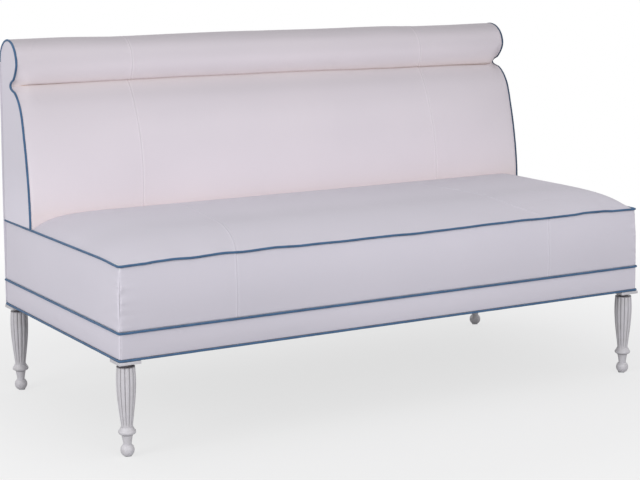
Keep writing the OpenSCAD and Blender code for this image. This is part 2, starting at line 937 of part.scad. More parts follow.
module back_insulator() {
    color(cloth_colour)
        block(
            [-cheek_in_x, half_d - insulator_d - insulator_t, lower_rail_z],
            [cheek_in_x, half_d - insulator_d, upper_rail_z + back_rail_h]
        );
}

module dust_cover() {
    corner = block_w - block_out + dust_gap;
    color(dust_colour)
        difference() {
            block([-frame_x, -frame_y, frame_h - dust_t], [frame_x, frame_rear_y, frame_h]);
            for (sx = [-1, 1], sy = [-1, 1])
                translate([sx * half_w, sy * half_d, frame_h])
                    cube([2 * corner, 2 * corner, 2 * overrun + 2 * dust_t], center = true);
        }
}

// Half section of the turned leg, as [radius, height]
function bulb_r(t) =
    t < bulb_wide_share
        ? (bulb_foot_d + (bulb_d - bulb_foot_d) * sin(90 * t / bulb_wide_share)) / 2
        : (bulb_d - (bulb_d - bulb_top_d) * pow((t - bulb_wide_share) / (1 - bulb_wide_share), 2)) / 2;
ball_low = -asin((ball_r - ball_cut) / ball_r);
ball_high = acos(neck_foot_d / ball_d);
turned_line = [
    [0, glide_h],
    for (k = [0:10])
        let (turn = ball_low + (ball_high - ball_low) * k / 10)
        [ball_r * cos(turn), ball_z + ball_r * sin(turn)],
    [neck_top_d / 2, ring_z],
    for (turn = [-75:15:60])
        let (mid = (ring_d - bulb_foot_d) / 4 + bulb_foot_d / 2)
        [mid + (ring_d / 2 - mid) * cos(turn), ring_z + ring_h / 2 + ring_h / 2 * sin(turn)],
    for (k = [0:16]) [bulb_r(k / 16), bulb_z + bulb_h * k / 16],
    [recess_d / 2, bulb_top],
    [recess_d / 2, block_z],
    [0, block_z],
];

// Plate that cuts one groove between reeds: its inner edge follows the reeded part
module groove() {
    rotate([90, 0, 0])
        translate([0, 0, -groove_w / 2])
            linear_extrude(groove_w)
                polygon([
                    [bulb_d, bulb_z],
                    for (k = [0:12])
                        let (rise = min(k / 2, 1))
                        [bulb_r(k / 12) - groove_d * rise, bulb_z + bulb_h * k / 12],
                    [bulb_top_d / 2 - groove_d, bulb_top + recess_h / 2],
                    [bulb_d, bulb_top + recess_h / 2],
                ]);
}

module leg(sx, sy) {
    color(leg_colour)
        translate([sx * leg_x, sy * leg_y, 0])
            difference() {
                union() {
                    block([-block_w / 2, -block_w / 2, block_z], [block_w / 2, block_w / 2, leg_top]);
                    rotate_extrude() polygon(turned_line);
                }
                for (k = [0:reed_n - 1])
                    rotate([0, 0, 360 * (k + 1 / 2) / reed_n]) groove();
                bar_z(0, 0, leg_top - bolt_in_leg, leg_top + overrun, bolt_d + 2 * bore_gap);
                bar_z(0, 0, 0, glide_h + nail_l + end_gap, nail_d + 2 * bore_gap);
            }
}

module front_left_leg() { leg(-1, -1); }
module front_right_leg() { leg(1, -1); }
module rear_left_leg() { leg(-1, 1); }
module rear_right_leg() { leg(1, 1); }

leg_places = [for (sx = [-1, 1], sy = [-1, 1]) [sx * leg_x, sy * leg_y, 0]];

module hanger_bolts() {
    color(steel_colour)
        for (place = leg_places)
            translate(place) bar_z(0, 0, leg_top - bolt_in_leg, leg_top + bolt_in_post, bolt_d);
}

module leg_inserts() {
    color(steel_colour)
        for (place = leg_places)
            translate(place)
                difference() {
                    bar_z(0, 0, frame_h, frame_h + insert_l, insert_d);
                    bar_z(0, 0, frame_h - overrun, frame_h + insert_l + overrun, bolt_d + 2 * bore_gap);
                }
}

module foot_glides() {
    color(steel_colour)
        for (place = leg_places)
            translate(place) {
                bar_z(0, 0, 0, glide_h, glide_d);
                bar_z(0, 0, glide_h / 2, glide_h + nail_l, nail_d);
            }
}

front_left_post();
front_right_post();
rear_left_post();
rear_right_post();
front_rail();
rear_rail();
left_side_rail();
right_side_rail();
left_stretcher();
right_stretcher();
left_cheek();
right_cheek();
left_upright();
right_upright();
roll_pole();
upper_back_rail();
lower_back_rail();
frame_dowels();
frame_screws();
seat_springs();
seat_spring_clips();
back_springs();
back_spring_clips();
seat_insulator();
back_insulator();
seat_foam();
back_foam();
roll_foam();
front_pad();
left_pad();
right_pad();
left_end_pad();
right_end_pad();
seat_cover();
front_border();
left_border();
right_border();
front_band();
left_band();
right_band();
inside_back_cover();
roll_cover();
left_end_panel();
right_end_panel();
outside_back_board();
outside_back_cover();
seat_welt();
band_top_welt();
band_bottom_welt();
left_back_welt();
right_back_welt();
dust_cover();
front_left_leg();
front_right_leg();
rear_left_leg();
rear_right_leg();
hanger_bolts();
leg_inserts();
foot_glides();
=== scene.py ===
import bmesh
import bpy
import json
from math import acos, asin, atan2, cos, exp, hypot, pi, radians, sin, sqrt
from mathutils import Matrix, Vector, noise


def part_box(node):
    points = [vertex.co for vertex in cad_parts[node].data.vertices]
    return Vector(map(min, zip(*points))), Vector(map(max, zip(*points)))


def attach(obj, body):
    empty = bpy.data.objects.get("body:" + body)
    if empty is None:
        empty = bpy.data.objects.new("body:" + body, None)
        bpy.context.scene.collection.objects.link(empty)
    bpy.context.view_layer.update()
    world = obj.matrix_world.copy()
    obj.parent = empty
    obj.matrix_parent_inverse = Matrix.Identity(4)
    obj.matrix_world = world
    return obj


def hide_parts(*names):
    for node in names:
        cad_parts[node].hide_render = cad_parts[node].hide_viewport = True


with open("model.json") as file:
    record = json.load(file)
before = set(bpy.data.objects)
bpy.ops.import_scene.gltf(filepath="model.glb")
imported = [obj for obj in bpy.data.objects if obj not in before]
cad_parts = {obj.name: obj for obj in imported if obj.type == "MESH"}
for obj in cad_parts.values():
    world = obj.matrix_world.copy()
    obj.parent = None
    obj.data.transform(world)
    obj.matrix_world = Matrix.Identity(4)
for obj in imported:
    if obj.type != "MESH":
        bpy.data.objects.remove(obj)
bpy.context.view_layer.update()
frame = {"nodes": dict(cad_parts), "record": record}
mm = 0.001
print("frame loaded")

# the camera stands front left, a little above the back's roll
shot = {
    "place": (-2.37682, -4.080183, 1.242126),
    "azimuth": 30.074,
    "down": 7.592,
    "roll": -0.411,
    "lens": 97.584,
    "shiftY": -0.1203,
}


def addObject(name, data):
    thing = bpy.data.objects.new(name, data)
    bpy.context.scene.collection.objects.link(thing)
    return thing


def placeCamera():
    turn, dip, lean = (radians(shot[k]) for k in ("azimuth", "down", "roll"))
    ahead = Vector((sin(turn) * cos(dip), cos(turn) * cos(dip), -sin(dip)))
    right = Vector((cos(turn), -sin(turn), 0))
    up = right.cross(ahead)
    leanRight = right * cos(lean) + up * sin(lean)
    leanUp = up * cos(lean) - right * sin(lean)
    data = bpy.data.cameras.new("camera")
    data.lens = shot["lens"]
    data.sensor_width = 36
    data.shift_y = shot["shiftY"]
    camera = addObject("camera", data)
    axes = Matrix((leanRight, leanUp, -ahead)).transposed()
    camera.matrix_world = Matrix.Translation(shot["place"]) @ axes.to_4x4()
    bpy.context.scene.camera = camera


placeCamera()

# sizes that several pieces share
body = {
    "halfW": 786 * mm,
    "halfD": 385 * mm,
    "backH": 962 * mm,
    "seatEdge": 470 * mm,
    "bandTop": 306.4 * mm,
    "bandBottom": 240 * mm,
    "edgeIn": 4 * mm,
    "cornerR": 7 * mm,
    "weltR": 3 * mm,
    "weltOut": 1.5 * mm,
    "seamGap": 3.3 * mm,
    "skin": 1.8 * mm,
    "cloth": 1.5 * mm,
    "sewnEdge": 2 * mm,
}
coverX = body["halfW"] - body["edgeIn"] - body["skin"]
coverY = body["halfD"] - body["edgeIn"] - body["skin"]

# how the seat's front edge rises and falls, as (x, lift) in mm
edgeWave = [
    (-786, -3.6), (-720, -2.2), (-685, 0.0), (-641, 1.1), (-592, -0.5), (-508, 2.4), (-450, 0.3),
    (-370, 2.4), (-290, -0.3), (-240, -0.1), (-169, -1.1), (-81, -0.4), (-20, -0.4), (45, -2.0),
    (120, -1.1), (197, -0.4), (280, 1.4), (326, 1.3), (392, 2.1), (459, 0.8), (561, 1.4), (605, 3.6),
    (666, 2.6), (705, 0.0), (786, -1.2),
]


def shareOf(low, high, value):
    return min(max((value - low) / (high - low), 0), 1)


def smoothStep(low, high, value):
    t = shareOf(low, high, value)
    return t * t * (3 - 2 * t)


def liftAt(places, x):
    # between the places of a table like edgeWave
    place = min(max(x / mm, places[0][0]), places[-1][0])
    for (x0, lift0), (x1, lift1) in zip(places, places[1:]):
        if place <= x1:
            return (lift0 + (lift1 - lift0) * smoothStep(x0, x1, place)) * mm


def hump(value, centre, width):
    return exp(-(((value - centre) / width) ** 2))


def roundCorner(p, halfW, halfD):
    # turns the square front corners of the plan into round ones
    r = body["cornerR"]
    side = 1 if p.x > 0 else -1
    dx, dy = abs(p.x) - (halfW - r), -p.y - (halfD - r)
    if dx <= 0 or dy <= 0:
        return p
    ratio = max(dx, dy) / hypot(dx, dy)
    return Vector((side * (halfW - r + dx * ratio), -(halfD - r + dy * ratio), p.z))


# nodes and finishes

class Tree:
    # a node tree, with short ways to add what the finishes need
    def __init__(self, tree):
        self.tree = tree

    def feed(self, value, socket):
        if isinstance(value, bpy.types.NodeSocket):
            self.tree.links.new(value, socket)
        else:
            socket.default_value = value

    def add(self, kind, inputs=None, **attributes):
        node = self.tree.nodes.new("ShaderNode" + kind)
        for name, value in attributes.items():
            setattr(node, name, value)
        for key, value in (inputs or {}).items():
            self.feed(value, node.inputs[key])
        return node

    def calc(self, operation, a, b=0.0, c=0.0):
        return self.add("Math", {0: a, 1: b, 2: c}, operation=operation).outputs[0]

    def mix(self, share, a, b, blend="MIX"):
        return self.add("Mix", {0: share, 6: a, 7: b}, data_type="RGBA", blend_type=blend).outputs[2]

    def noise(self, place, scale, detail):
        return self.add("TexNoise", {"Vector": place, "Scale": scale, "Detail": detail}).outputs

    def mapped(self, place, **change):
        return self.add("Mapping", {"Vector": place, **change}).outputs[0]

    def attribute(self, name):
        return self.add("Attribute", attribute_name=name).outputs["Fac"]

    def use(self, group, **inputs):
        return self.add("Group", inputs, node_tree=group).outputs

    def tinted(self, a, b):
        return self.mix(1.0, a, b, "MULTIPLY")


class Finish(Tree):
    # a material round one Principled shader

    def __init__(self, name, roughness, **constants):
        self.material = bpy.data.materials.new(name)
        self.material.use_nodes = True
        super().__init__(self.material.node_tree)
        self.sockets = self.tree.nodes["Principled BSDF"].inputs
        self.sockets["Roughness"].default_value = roughness
        for title, value in constants.items():
            self.sockets[title.replace("_", " ")].default_value = value
        coords = self.tree.nodes.new("ShaderNodeTexCoord").outputs
        self.place, self.uv = coords["Object"], coords["UV"]

    def mottle(self, scale, contrast):
        return self.use(mottleGroup, Vector=self.place, Scale=scale, Contrast=contrast)["Value"]

    def close(self, base, height, strength, distance, roughness=None):
        self.feed(base, self.sockets["Base Color"])
        if roughness:
            self.feed(roughness, self.sockets["Roughness"])
        bump = self.add("Bump", {"Height": height, "Strength": strength, "Distance": distance})
        self.feed(bump.outputs[0], self.sockets["Normal"])
        return self.material


def newGroup(name, inputs, outputs):
    # an input without a number is a vector
    group = bpy.data.node_groups.new(name, "ShaderNodeTree")
    for title, value in inputs.items():
        kind = "NodeSocketVector" if value is None else "NodeSocketFloat"
        socket = group.interface.new_socket(title, in_out="INPUT", socket_type=kind)
        if value is not None:
            socket.default_value = value
    for title in outputs:
        group.interface.new_socket(title, in_out="OUTPUT", socket_type="NodeSocketFloat")
    given = group.nodes.new("NodeGroupInput").outputs
    return Tree(group), given, group.nodes.new("NodeGroupOutput").inputs


def buildWeave():
    given = {"Vector": None, "Threads": 2000.0, "Slub": 0.3}
    t, given, out = newGroup("plainWeave", given, ("Height", "Tone"))
    wander = t.noise(given["Vector"], 60.0, 2.0)["Color"]
    bent = t.add("VectorMath", {0: wander, 1: (0.0006, 0.0006, 0.0)}, operation="MULTIPLY").outputs[0]
    place = t.add("VectorMath", {0: given["Vector"], 1: bent}, operation="ADD").outputs[0]
    parts = t.add("SeparateXYZ", {0: place}).outputs
    u, v = (t.calc("MULTIPLY", part, given["Threads"]) for part in (parts[0], parts[1]))
    checker = t.calc("PINGPONG", t.calc("ADD", t.calc("FLOOR", u), t.calc("FLOOR", v)), 1.0)
    warp, weft = (t.calc("ABSOLUTE", t.calc("SINE", t.calc("MULTIPLY", w, pi))) for w in (u, v))
    over = t.calc("MULTIPLY", t.calc("MULTIPLY_ADD", weft, 0.5, 0.5), warp)
    under = t.calc("MULTIPLY", t.calc("MULTIPLY_ADD", warp, 0.5, 0.5), weft)
    height = t.add("Mix", {0: checker, 2: over, 3: under}).outputs[0]
    t.feed(height, out["Height"])
    # thicker threads here and there, drawn out along both directions
    tones = []
    for stretch in ((30.0, 900.0, 1.0), (900.0, 30.0, 1.0)):
        slub = t.noise(t.mapped(given["Vector"], Scale=stretch), 1.0, 2.0)
        tones.append(t.calc("SUBTRACT", slub["Fac"], 0.5))
    both = t.calc("MULTIPLY", t.calc("ADD", *tones), given["Slub"])
    t.feed(t.calc("MULTIPLY_ADD", height, 0.12, t.calc("ADD", both, 0.44)), out["Tone"])
    return t.tree


def buildMottle():
    t, given, out = newGroup("softMottle", {"Vector": None, "Scale": 4.0, "Contrast": 1.0}, ("Value",))
    cloud = t.noise(given["Vector"], given["Scale"], 3.0)["Fac"]
    value = t.calc("MULTIPLY_ADD", t.calc("SUBTRACT", cloud, 0.5), given["Contrast"], 0.5)
    t.feed(t.add("Clamp", {"Value": value}).outputs[0], out["Value"])
    return t.tree


def buildGrain():
    t, given, out = newGroup("woodGrain", {"Vector": None, "Scale": 1.0}, ("Grain", "Pores"))
    sized = t.add("VectorMath", {0: given["Vector"], 3: given["Scale"]}, operation="SCALE").outputs[0]
    long = t.mapped(sized, Scale=(2.0, 34.0, 34.0))
    wave = {"Vector": long, "Scale": 0.6, "Distortion": 5.0, "Detail": 3.0, "Detail Scale": 1.2}
    t.feed(t.add("TexWave", wave, bands_direction="DIAGONAL").outputs["Fac"], out["Grain"])
    t.feed(t.noise(t.mapped(sized, Scale=(30.0, 900.0, 900.0)), 1.0, 3.0)["Fac"], out["Pores"])
    return t.tree


weaveGroup, mottleGroup, grainGroup = buildWeave(), buildMottle(), buildGrain()


def colour(r, g, b):
    return (r, g, b, 1.0)


def grey(value):
    return colour(value, value, value)


fabricLook = {
    # the back's colours below are the seat cloth's again, made lighter and pinker: painted light for how the
    # lamps fall on the back and roll; light and shade in these keys are the two tones the mottle mixes
    "seatLight": colour(0.672, 0.640, 0.714),
    "seatShade": colour(0.628, 0.603, 0.677),
    "backLight": colour(0.728, 0.670, 0.722),
    "backShade": colour(0.676, 0.628, 0.684),
    # tuck is the colour of the painted warm shade in the crease under the roll, and of the painted warm
    # bounce light near it
    "tuck": colour(0.82, 0.52, 0.22),
    "threads": 1700.0,
    "slub": 0.25,
}


def makeUpholsteryCloth(name, light, shade):
    f = Finish(name, 0.82, Sheen_Weight=0.12, Sheen_Roughness=0.55, Specular_IOR_Level=0.25)
    weave = f.use(weaveGroup, Vector=f.uv, Threads=fabricLook["threads"], Slub=fabricLook["slub"])
    cloud = f.mottle(2.2, 1.4)
    base = f.mix(cloud, light, shade)
    woven = f.tinted(base, f.mix(weave["Tone"], grey(0.95), grey(1.04)))
    # painted light and shade: the painted shading and the seams' painted highlight and shade make the cloth
    # lighter or greyer there, and the warm mask paints warm shade into the tuck and warm bounce light near
    # it
    paintedShading = f.calc("ADD", f.attribute("paintedShading"), f.calc("ADD", f.attribute("paintedSeamShading"), 1.0))
    warm = f.mix(f.attribute("paintedWarmShade"), f.tinted(woven, paintedShading), fabricLook["tuck"])
    soilAndPaintedShade = f.mottle(30.0, 0.5)
    return f.close(warm, weave["Height"], 0.3, 0.00012, f.calc("MULTIPLY_ADD", soilAndPaintedShade, 0.12, 0.76))


weltLook = {
    "blue": colour(0.078, 0.172, 0.315),
    "deep": colour(0.040, 0.093, 0.185),
    # the colour of the painted shade on the right welt
    "paintedShade": colour(0.025, 0.03, 0.05),
    "threads": 1900.0,
}


def makeWeltCloth():
    f = Finish("weltCloth", 0.7, Sheen_Weight=0.2, Sheen_Roughness=0.4, Specular_IOR_Level=0.3)
    bias = f.mapped(f.uv, Rotation=(0.0, 0.0, radians(45)))
    weave = f.use(weaveGroup, Vector=bias, Threads=weltLook["threads"], Slub=0.5)
    cloud = f.mottle(38.0, 1.2)
    base = f.mix(cloud, weltLook["deep"], weltLook["blue"])
    woven = f.tinted(base, f.mix(weave["Tone"], grey(0.8), grey(1.15)))
    # painted shade darkens the welt where its mask says
    return f.close(f.mix(f.attribute("soilAndPaintedShade"), woven, weltLook["paintedShade"]), weave["Height"], 0.6, 0.0002)


paintLook = {
    "white": colour(0.615, 0.60, 0.64),
    "worn": colour(0.50, 0.485, 0.49),
    # the colour of painted shade in the reeds' grooves, in the recess and under the ring
    "groove": colour(0.14, 0.13, 0.145),
}


def makeLegPaint():
    f = Finish("legPaint", 0.38, Coat_Weight=0.12, Coat_Roughness=0.3)
    strokes = f.noise(f.mapped(f.place, Scale=(420.0, 420.0, 26.0)), 1.0, 3.0)["Fac"]
    cloud = f.mottle(45.0, 2.2)
    base = f.mix(f.calc("MULTIPLY", cloud, strokes), paintLook["white"], paintLook["worn"])
    # painted shade in the grooves and recesses
    grooved = f.mix(f.attribute("groove"), base, paintLook["groove"])
    return f.close(grooved, strokes, 0.25, 0.0004, f.calc("MULTIPLY_ADD", strokes, 0.25, 0.28))


def makeWood(name, light, dark, scale, roughness, turned=(0.0, 0.0, 0.0)):
    f = Finish(name, roughness)
    grain = f.use(grainGroup, Vector=f.mapped(f.place, Rotation=turned), Scale=scale)
    pores = f.mix(grain["Pores"], colour(0.82, 0.8, 0.78), grey(1.1))
    wood = f.tinted(f.mix(grain["Grain"], light, dark), pores)
    rough = f.calc("MULTIPLY_ADD", grain["Pores"], 0.3, roughness - 0.15)
    return f.close(wood, grain["Pores"], 0.3, 0.0005, rough)


def makeSteel():
    f = Finish("zincSteel", 0.36, Metallic=1.0)
    cloud = f.mottle(90.0, 1.6)
    base = f.mix(cloud, colour(0.50, 0.51, 0.53), colour(0.68, 0.69, 0.70))
    return f.close(base, cloud, 0.15, 0.0003, f.calc("MULTIPLY_ADD", cloud, 0.25, 0.26))


def makeInnerCloth(name, light, dark, threads, slub, depth, roughness):
    f = Finish(name, roughness, Specular_IOR_Level=0.2)
    weave = f.use(weaveGroup, Vector=f.place, Threads=threads, Slub=slub)
    return f.close(f.mix(weave["Tone"], dark, light), weave["Height"], 0.6, depth)


def makeCellular(name, light, dark, scale, depth, roughness):
    # open cells of a foam, or the fluff of a wadding
    f = Finish(name, roughness, Specular_IOR_Level=0.2)
    cells = f.add("TexVoronoi", {"Vector": f.place, "Scale": scale}).outputs["Distance"]
    cloud = f.mottle(scale / 40, 1.0)
    share = f.calc("MULTIPLY_ADD", cells, 0.6, f.calc("MULTIPLY", cloud, 0.4))
    return f.close(f.mix(share, dark, light), cells, 0.5, depth)


seatCloth = makeUpholsteryCloth("seatCloth", fabricLook["seatLight"], fabricLook["seatShade"])
# the back's cloth is a lighter, pinker copy of the seat's: painted light
backPaintedLightCloth = makeUpholsteryCloth("backPaintedLightCloth", fabricLook["backLight"], fabricLook["backShade"])
finishes = {
    "cover_fabric": seatCloth,
    "welt_fabric": makeWeltCloth(),
    "leg_paint": makeLegPaint(),
    "frame_wood": makeWood("frameBeech", colour(0.55, 0.36, 0.20), colour(0.40, 0.24, 0.12), 1.0, 0.6),
    "plywood": makeWood(
        "plywood", colour(0.62, 0.46, 0.28), colour(0.48, 0.33, 0.18), 0.8, 0.65, (0.0, 0.0, 0.7)
    ),
    "steel": makeSteel(),
    "hessian": makeInnerCloth(
        "hessian", colour(0.42, 0.32, 0.19), colour(0.22, 0.16, 0.09), 420.0, 1.4, 0.0008, 0.9
    ),
    "foam": makeCellular(
        "seatFoam", colour(0.84, 0.74, 0.46), colour(0.62, 0.50, 0.27), 900.0, 0.0005, 0.9
    ),
    "wadding": makeCellular(
        "wadding", colour(0.88, 0.88, 0.86), colour(0.70, 0.70, 0.69), 260.0, 0.0009, 0.95
    ),
    "board": makeCellular(
        "fibreboard", colour(0.30, 0.20, 0.12), colour(0.18, 0.11, 0.06), 1500.0, 0.0002, 0.7
    ),
    "dust_cloth": makeInnerCloth(
        "dustCloth", colour(0.035, 0.035, 0.038), colour(0.012, 0.012, 0.014), 700.0, 0.8, 0.0003, 0.85
    ),
}
print("finishes made")


# helpers for the pieces

def noiseAt(*place):
    return noise.noise(Vector(place))


def vertsOf(grown):
    return [g for g in grown if isinstance(g, bmesh.types.BMVert)]


def writeTo(mesh, bm):
    bm.to_mesh(mesh)
    bm.free()
    for polygon in mesh.polygons:
        polygon.use_smooth = True


def toPiece(name, bm, material):
    # all faces are smooth
    mesh = bpy.data.meshes.new(name)
    writeTo(mesh, bm)
    piece = addObject(name, mesh)
    mesh.materials.append(material)
    return piece


def opened(mesh):
    bm = bmesh.new()
    bm.from_mesh(mesh)
    return bm


def refined(piece):
    # the piece's mesh again, twice as fine
    bm = opened(piece.data)
    bmesh.ops.subdivide_edges(bm, edges=bm.edges[:], cuts=1, use_grid_fill=True)
    return bm


def placePiece(piece, node):
    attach(piece, "root")
    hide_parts(node)


def closeCover(piece, node):
    # the cover gets the cloth's thickness, inward
    shell = piece.modifiers.new("thickness", "SOLIDIFY")
    shell.thickness = body["cloth"]
    shell.offset = -1
    shell.use_even_offset = False
    placePiece(piece, node)


def layerOf(bm, name):
    return bm.verts.layers.float.get(name) or bm.verts.layers.float.new(name)


def mapVerts(bm, shape):
    for vert in bm.verts:
        vert.co = shape(vert.co)


def cutAcross(bm, point, normal, **options):
    geometry = bm.verts[:] + bm.edges[:] + bm.faces[:]
    bmesh.ops.bisect_plane(bm, geom=geometry, dist=1e-6, plane_co=point, plane_no=normal, **options)


# light and dark are a painted highlight beside each seam and painted shade at its stitches
seamShape = {"depth": 1.1 * mm, "width": 1.6 * mm, "light": 0.12, "dark": 0.07, "reach": 8}
seamCuts = (-5, -3.2, -2, -1, 0, 1, 2, 3.2, 5)


def sewSeam(bm, point, normal, depth=seamShape["depth"]):
    # a plain seam: the cloth dips to the stitches and puffs up a little beside them,
    # and a highlight is painted on one side of the fold, with painted shade at the stitches
    direction = Vector(normal).normalized()
    width = seamShape["width"]
    for step in seamCuts:
        cutAcross(bm, Vector(point) + direction * width * step, direction)
    bm.normal_update()
    paintedSeamShading = layerOf(bm, "paintedSeamShading")
    for vert in bm.verts:
        off = (vert.co - Vector(point)).dot(direction) / width
        if abs(off) < seamShape["reach"]:
            dip = hump(off, 0, 1) * depth - hump(abs(off), 3, 2) * depth * 0.25
            vert.co -= vert.normal * dip
            # a painted highlight on one side of the fold, painted shade at the stitches
            vert[paintedSeamShading] = seamShape["light"] * hump(off, -2, 1.2) - seamShape["dark"] * hump(off, 0, 1)


def paint(bm, name, shade):
    layer = layerOf(bm, name)
    for vert in bm.verts:
        vert[layer] = shade(vert)


def setUv(bm, place):
    layer = bm.loops.layers.uv.verify()
    for face in bm.faces:
        for loop in face.loops:
            loop[layer].uv = place(loop.vert)


def faceOutward(bm, outward):
    # an open sheet is turned as a whole, by its outermost face
    way = Vector(outward)
    bm.normal_update()
    outermost = max(bm.faces, key=lambda f: f.calc_center_median().dot(way))
    if outermost.normal.dot(way) < 0:
        bmesh.ops.reverse_faces(bm, faces=bm.faces[:])


def finishSheet(name, bm, node, outward, axes):
    # axes are the two that the weave runs along
    faceOutward(bm, outward)
    setUv(bm, lambda v: (v.co[axes[0]], v.co[axes[1]]))
    closeCover(toPiece(name, bm, seatCloth), node)


def finishSolid(name, bm, slot, node, sharp):
    # edges bent by more than sharp degrees stay crisp
    piece = toPiece(name, bm, finishes[slot])
    piece.data.set_sharp_from_angle(angle=radians(sharp))
    placePiece(piece, node)


def uprightSheet(start, end, foot, head, columns, rows):
    # flat upright sheet between two places of the plan
    bm = bmesh.new()
    bmesh.ops.create_grid(bm, x_segments=columns, y_segments=rows, size=1)
    a, b = Vector((*start, 0)), Vector((*end, 0))
    mapVerts(bm, lambda p: a.lerp(b, (p.x + 1) / 2) + Vector((0, 0, foot + (head - foot) * (p.y + 1) / 2)))
    return bm


def sweptSheet(line, low, high, columns):
    # a line of (y, z) points drawn out along x; run keeps the length along it, number the point
    bm = bmesh.new()
    run = layerOf(bm, "run")
    last, length = None, 0.0
    number = layerOf(bm, "number")
    for i, (y, z) in enumerate(line):
        vert = bm.verts.new((low, y, z))
        if last:
            bm.edges.new((last, vert))
            length += (vert.co - last.co).length
        vert[run], vert[number] = length, i
        last = vert
    grown = bmesh.ops.extrude_edge_only(bm, edges=bm.edges[:])["geom"]
    bmesh.ops.translate(bm, verts=vertsOf(grown), vec=(high - low, 0, 0))
    long = [e for e in bm.edges if abs(e.verts[0].co.x - e.verts[1].co.x) > 1e-6]
    bmesh.ops.subdivide_edges(bm, edges=long, cuts=columns - 1)
    return bm


def cloudAt(p, size, seed):
    return noise.noise(Vector((p.x / size, p.y / size, p.z / size)) + Vector((seed, seed * 1.7, 0)))


clothLook = {
    "pressure": 4.0, "slack": 0.0004, "frames": 20,
    "dip": 0.9 * mm, "rise": 7 * mm, "slide": 2.5 * mm,
    "settings": {
        "quality": 6, "mass": 0.3, "tension_stiffness": 20, "compression_stiffness": 20,
        "bending_stiffness": 1.5, "use_pressure": True, "vertex_group_mass": "sewn",
    },
}


def tightenCover(piece, sewn):
    # the cover is blown tight like cloth over its filling, held where it is sewn
    mesh = piece.data
    rest = [v.co.copy() for v in mesh.vertices]
    outward = [v.normal.copy() for v in mesh.vertices]
    held = piece.vertex_groups.new(name="sewn")
    held.add(sewn, 1.0, "REPLACE")
    cloth = piece.modifiers.new("cloth", "CLOTH")
    for title, value in clothLook["settings"].items():
        setattr(cloth.settings, title, value)
    cloth.settings.uniform_pressure_force = clothLook["pressure"]
    cloth.settings.shrink_min = -clothLook["slack"]
    cloth.settings.effector_weights.gravity = 0
    cloth.point_cache.frame_start = 1
    cloth.point_cache.frame_end = clothLook["frames"]
    scene = bpy.context.scene
    for number in range(1, clothLook["frames"] + 1):
        scene.frame_set(number)
    evaluated = piece.evaluated_get(bpy.context.evaluated_depsgraph_get()).data
    moved = [v.co.copy() for v in evaluated.vertices]
    piece.modifiers.remove(cloth)
    piece.vertex_groups.remove(held)
    largest = 0.0
    for vert, start, end, normal in zip(mesh.vertices, rest, moved, outward):
        shift = end - start
        rise = shift.dot(normal)
        slide = shift - normal * rise
        if slide.length > clothLook["slide"]:
            slide = slide.normalized() * clothLook["slide"]
        rise = min(max(rise, -clothLook["dip"]), clothLook["rise"])
        largest = max(largest, rise)
        vert.co = start + normal * rise + slide
    scene.frame_set(1)
    print(piece.name, "settled, largest rise", round(largest / mm, 2), "mm")


# profile of the back, depths counted forward from the rear fabric

backShape = {
    "rollR": 62 * mm,
    "faceD": 200 * mm,
    "shoulderD": 160 * mm,
    "shoulderDrop": 116 * mm,
    "notchPull": 14 * mm,
    "swell": 8 * mm,
    "rollPower": 1.5,
    "rakePower": 1.7,
    "rollTurn": 50,
    "shoulderTurn": 65,
    "faceTurn": 15,
    "tuckDepth": 12 * mm,
    "tuckOpen": 0.75 * mm,
    "tuckShut": 0.3,
    "tuckEnds": (-767 * mm, 740 * mm),
    "tuckFade": 9 * mm,
    "mouth": (108 * mm, 838 * mm),
    "fullFrom": (4.5 * mm, 8.5 * mm),
    "fullOver": 46 * mm,
    "faceSteps": 38,
    "notchShown": 0.49,
    "endColumns": 0.7,
    "rounding": 6 * mm,
    "drop": 1.4 * mm,
}
rollR = backShape["rollR"]
rollZ = body["backH"] - rollR
creaseZ = rollZ - rollR
shoulderZ = creaseZ - backShape["shoulderDrop"]
seatShape = {
    "crown": 38 * mm, "powerX": (16, 56), "powerY": 5, "powerRight": 5, "columns": 180, "rows": 66,
    "seamX": 368 * mm, "seamSlant": 0.128, "bendFrom": -200 * mm, "bend": 31 * mm, "bendWidth": 80 * mm,
    "foamBelow": 3 * mm, "rippleSize": 13 * mm, "ripple": 0.9 * mm,
}
seatRear = body["halfD"] - backShape["faceD"] - 0.3 * mm
rakeStart = body["seatEdge"] + seatShape["crown"] / 2
swellStart = body["seatEdge"] + seatShape["crown"]


def ovalAt(centreZ, reach, rise, turn, power=1):
    a = radians(turn)
    return Vector((rollR + reach * cos(a) ** power, centreZ + rise * sin(a) ** power))


def rollUnder(turn):
    return ovalAt(rollZ, rollR, -rollR, turn, 2 / backShape["rollPower"])


def rollRound(turn):
    return ovalAt(rollZ, rollR, rollR, turn)


def shoulderAt(turn):
    return ovalAt(shoulderZ, backShape["shoulderD"] - rollR, backShape["shoulderDrop"], turn)


faceTop = shoulderAt(backShape["faceTurn"])


def faceDepth(z):
    t = max(z - rakeStart, 0) / (faceTop.y - rakeStart)
    return backShape["faceD"] - (backShape["faceD"] - faceTop.x) * t ** backShape["rakePower"]


def notchAt(t):
    top, foot = rollUnder(backShape["rollTurn"]), shoulderAt(backShape["shoulderTurn"])
    pull = Vector((rollR - backShape["notchPull"], creaseZ))
    return top * (1 - t) ** 2 + pull * 2 * t * (1 - t) + foot * t ** 2


def faceLine(foot, steps):
    heights = [foot + (faceTop.y - foot) * j / steps for j in range(steps)]
    turns = backShape["shoulderTurn"] - backShape["faceTurn"]
    shoulder = [shoulderAt(backShape["faceTurn"] + turns * j / 14) for j in range(15)]
    return [Vector((faceDepth(z), z)) for z in heights] + shoulder


def swellAt(x, z):
    t = shareOf(swellStart, creaseZ, z)
    return backShape["swell"] * (1 - (abs(x) / coverX) ** 10) * sin(pi * t)


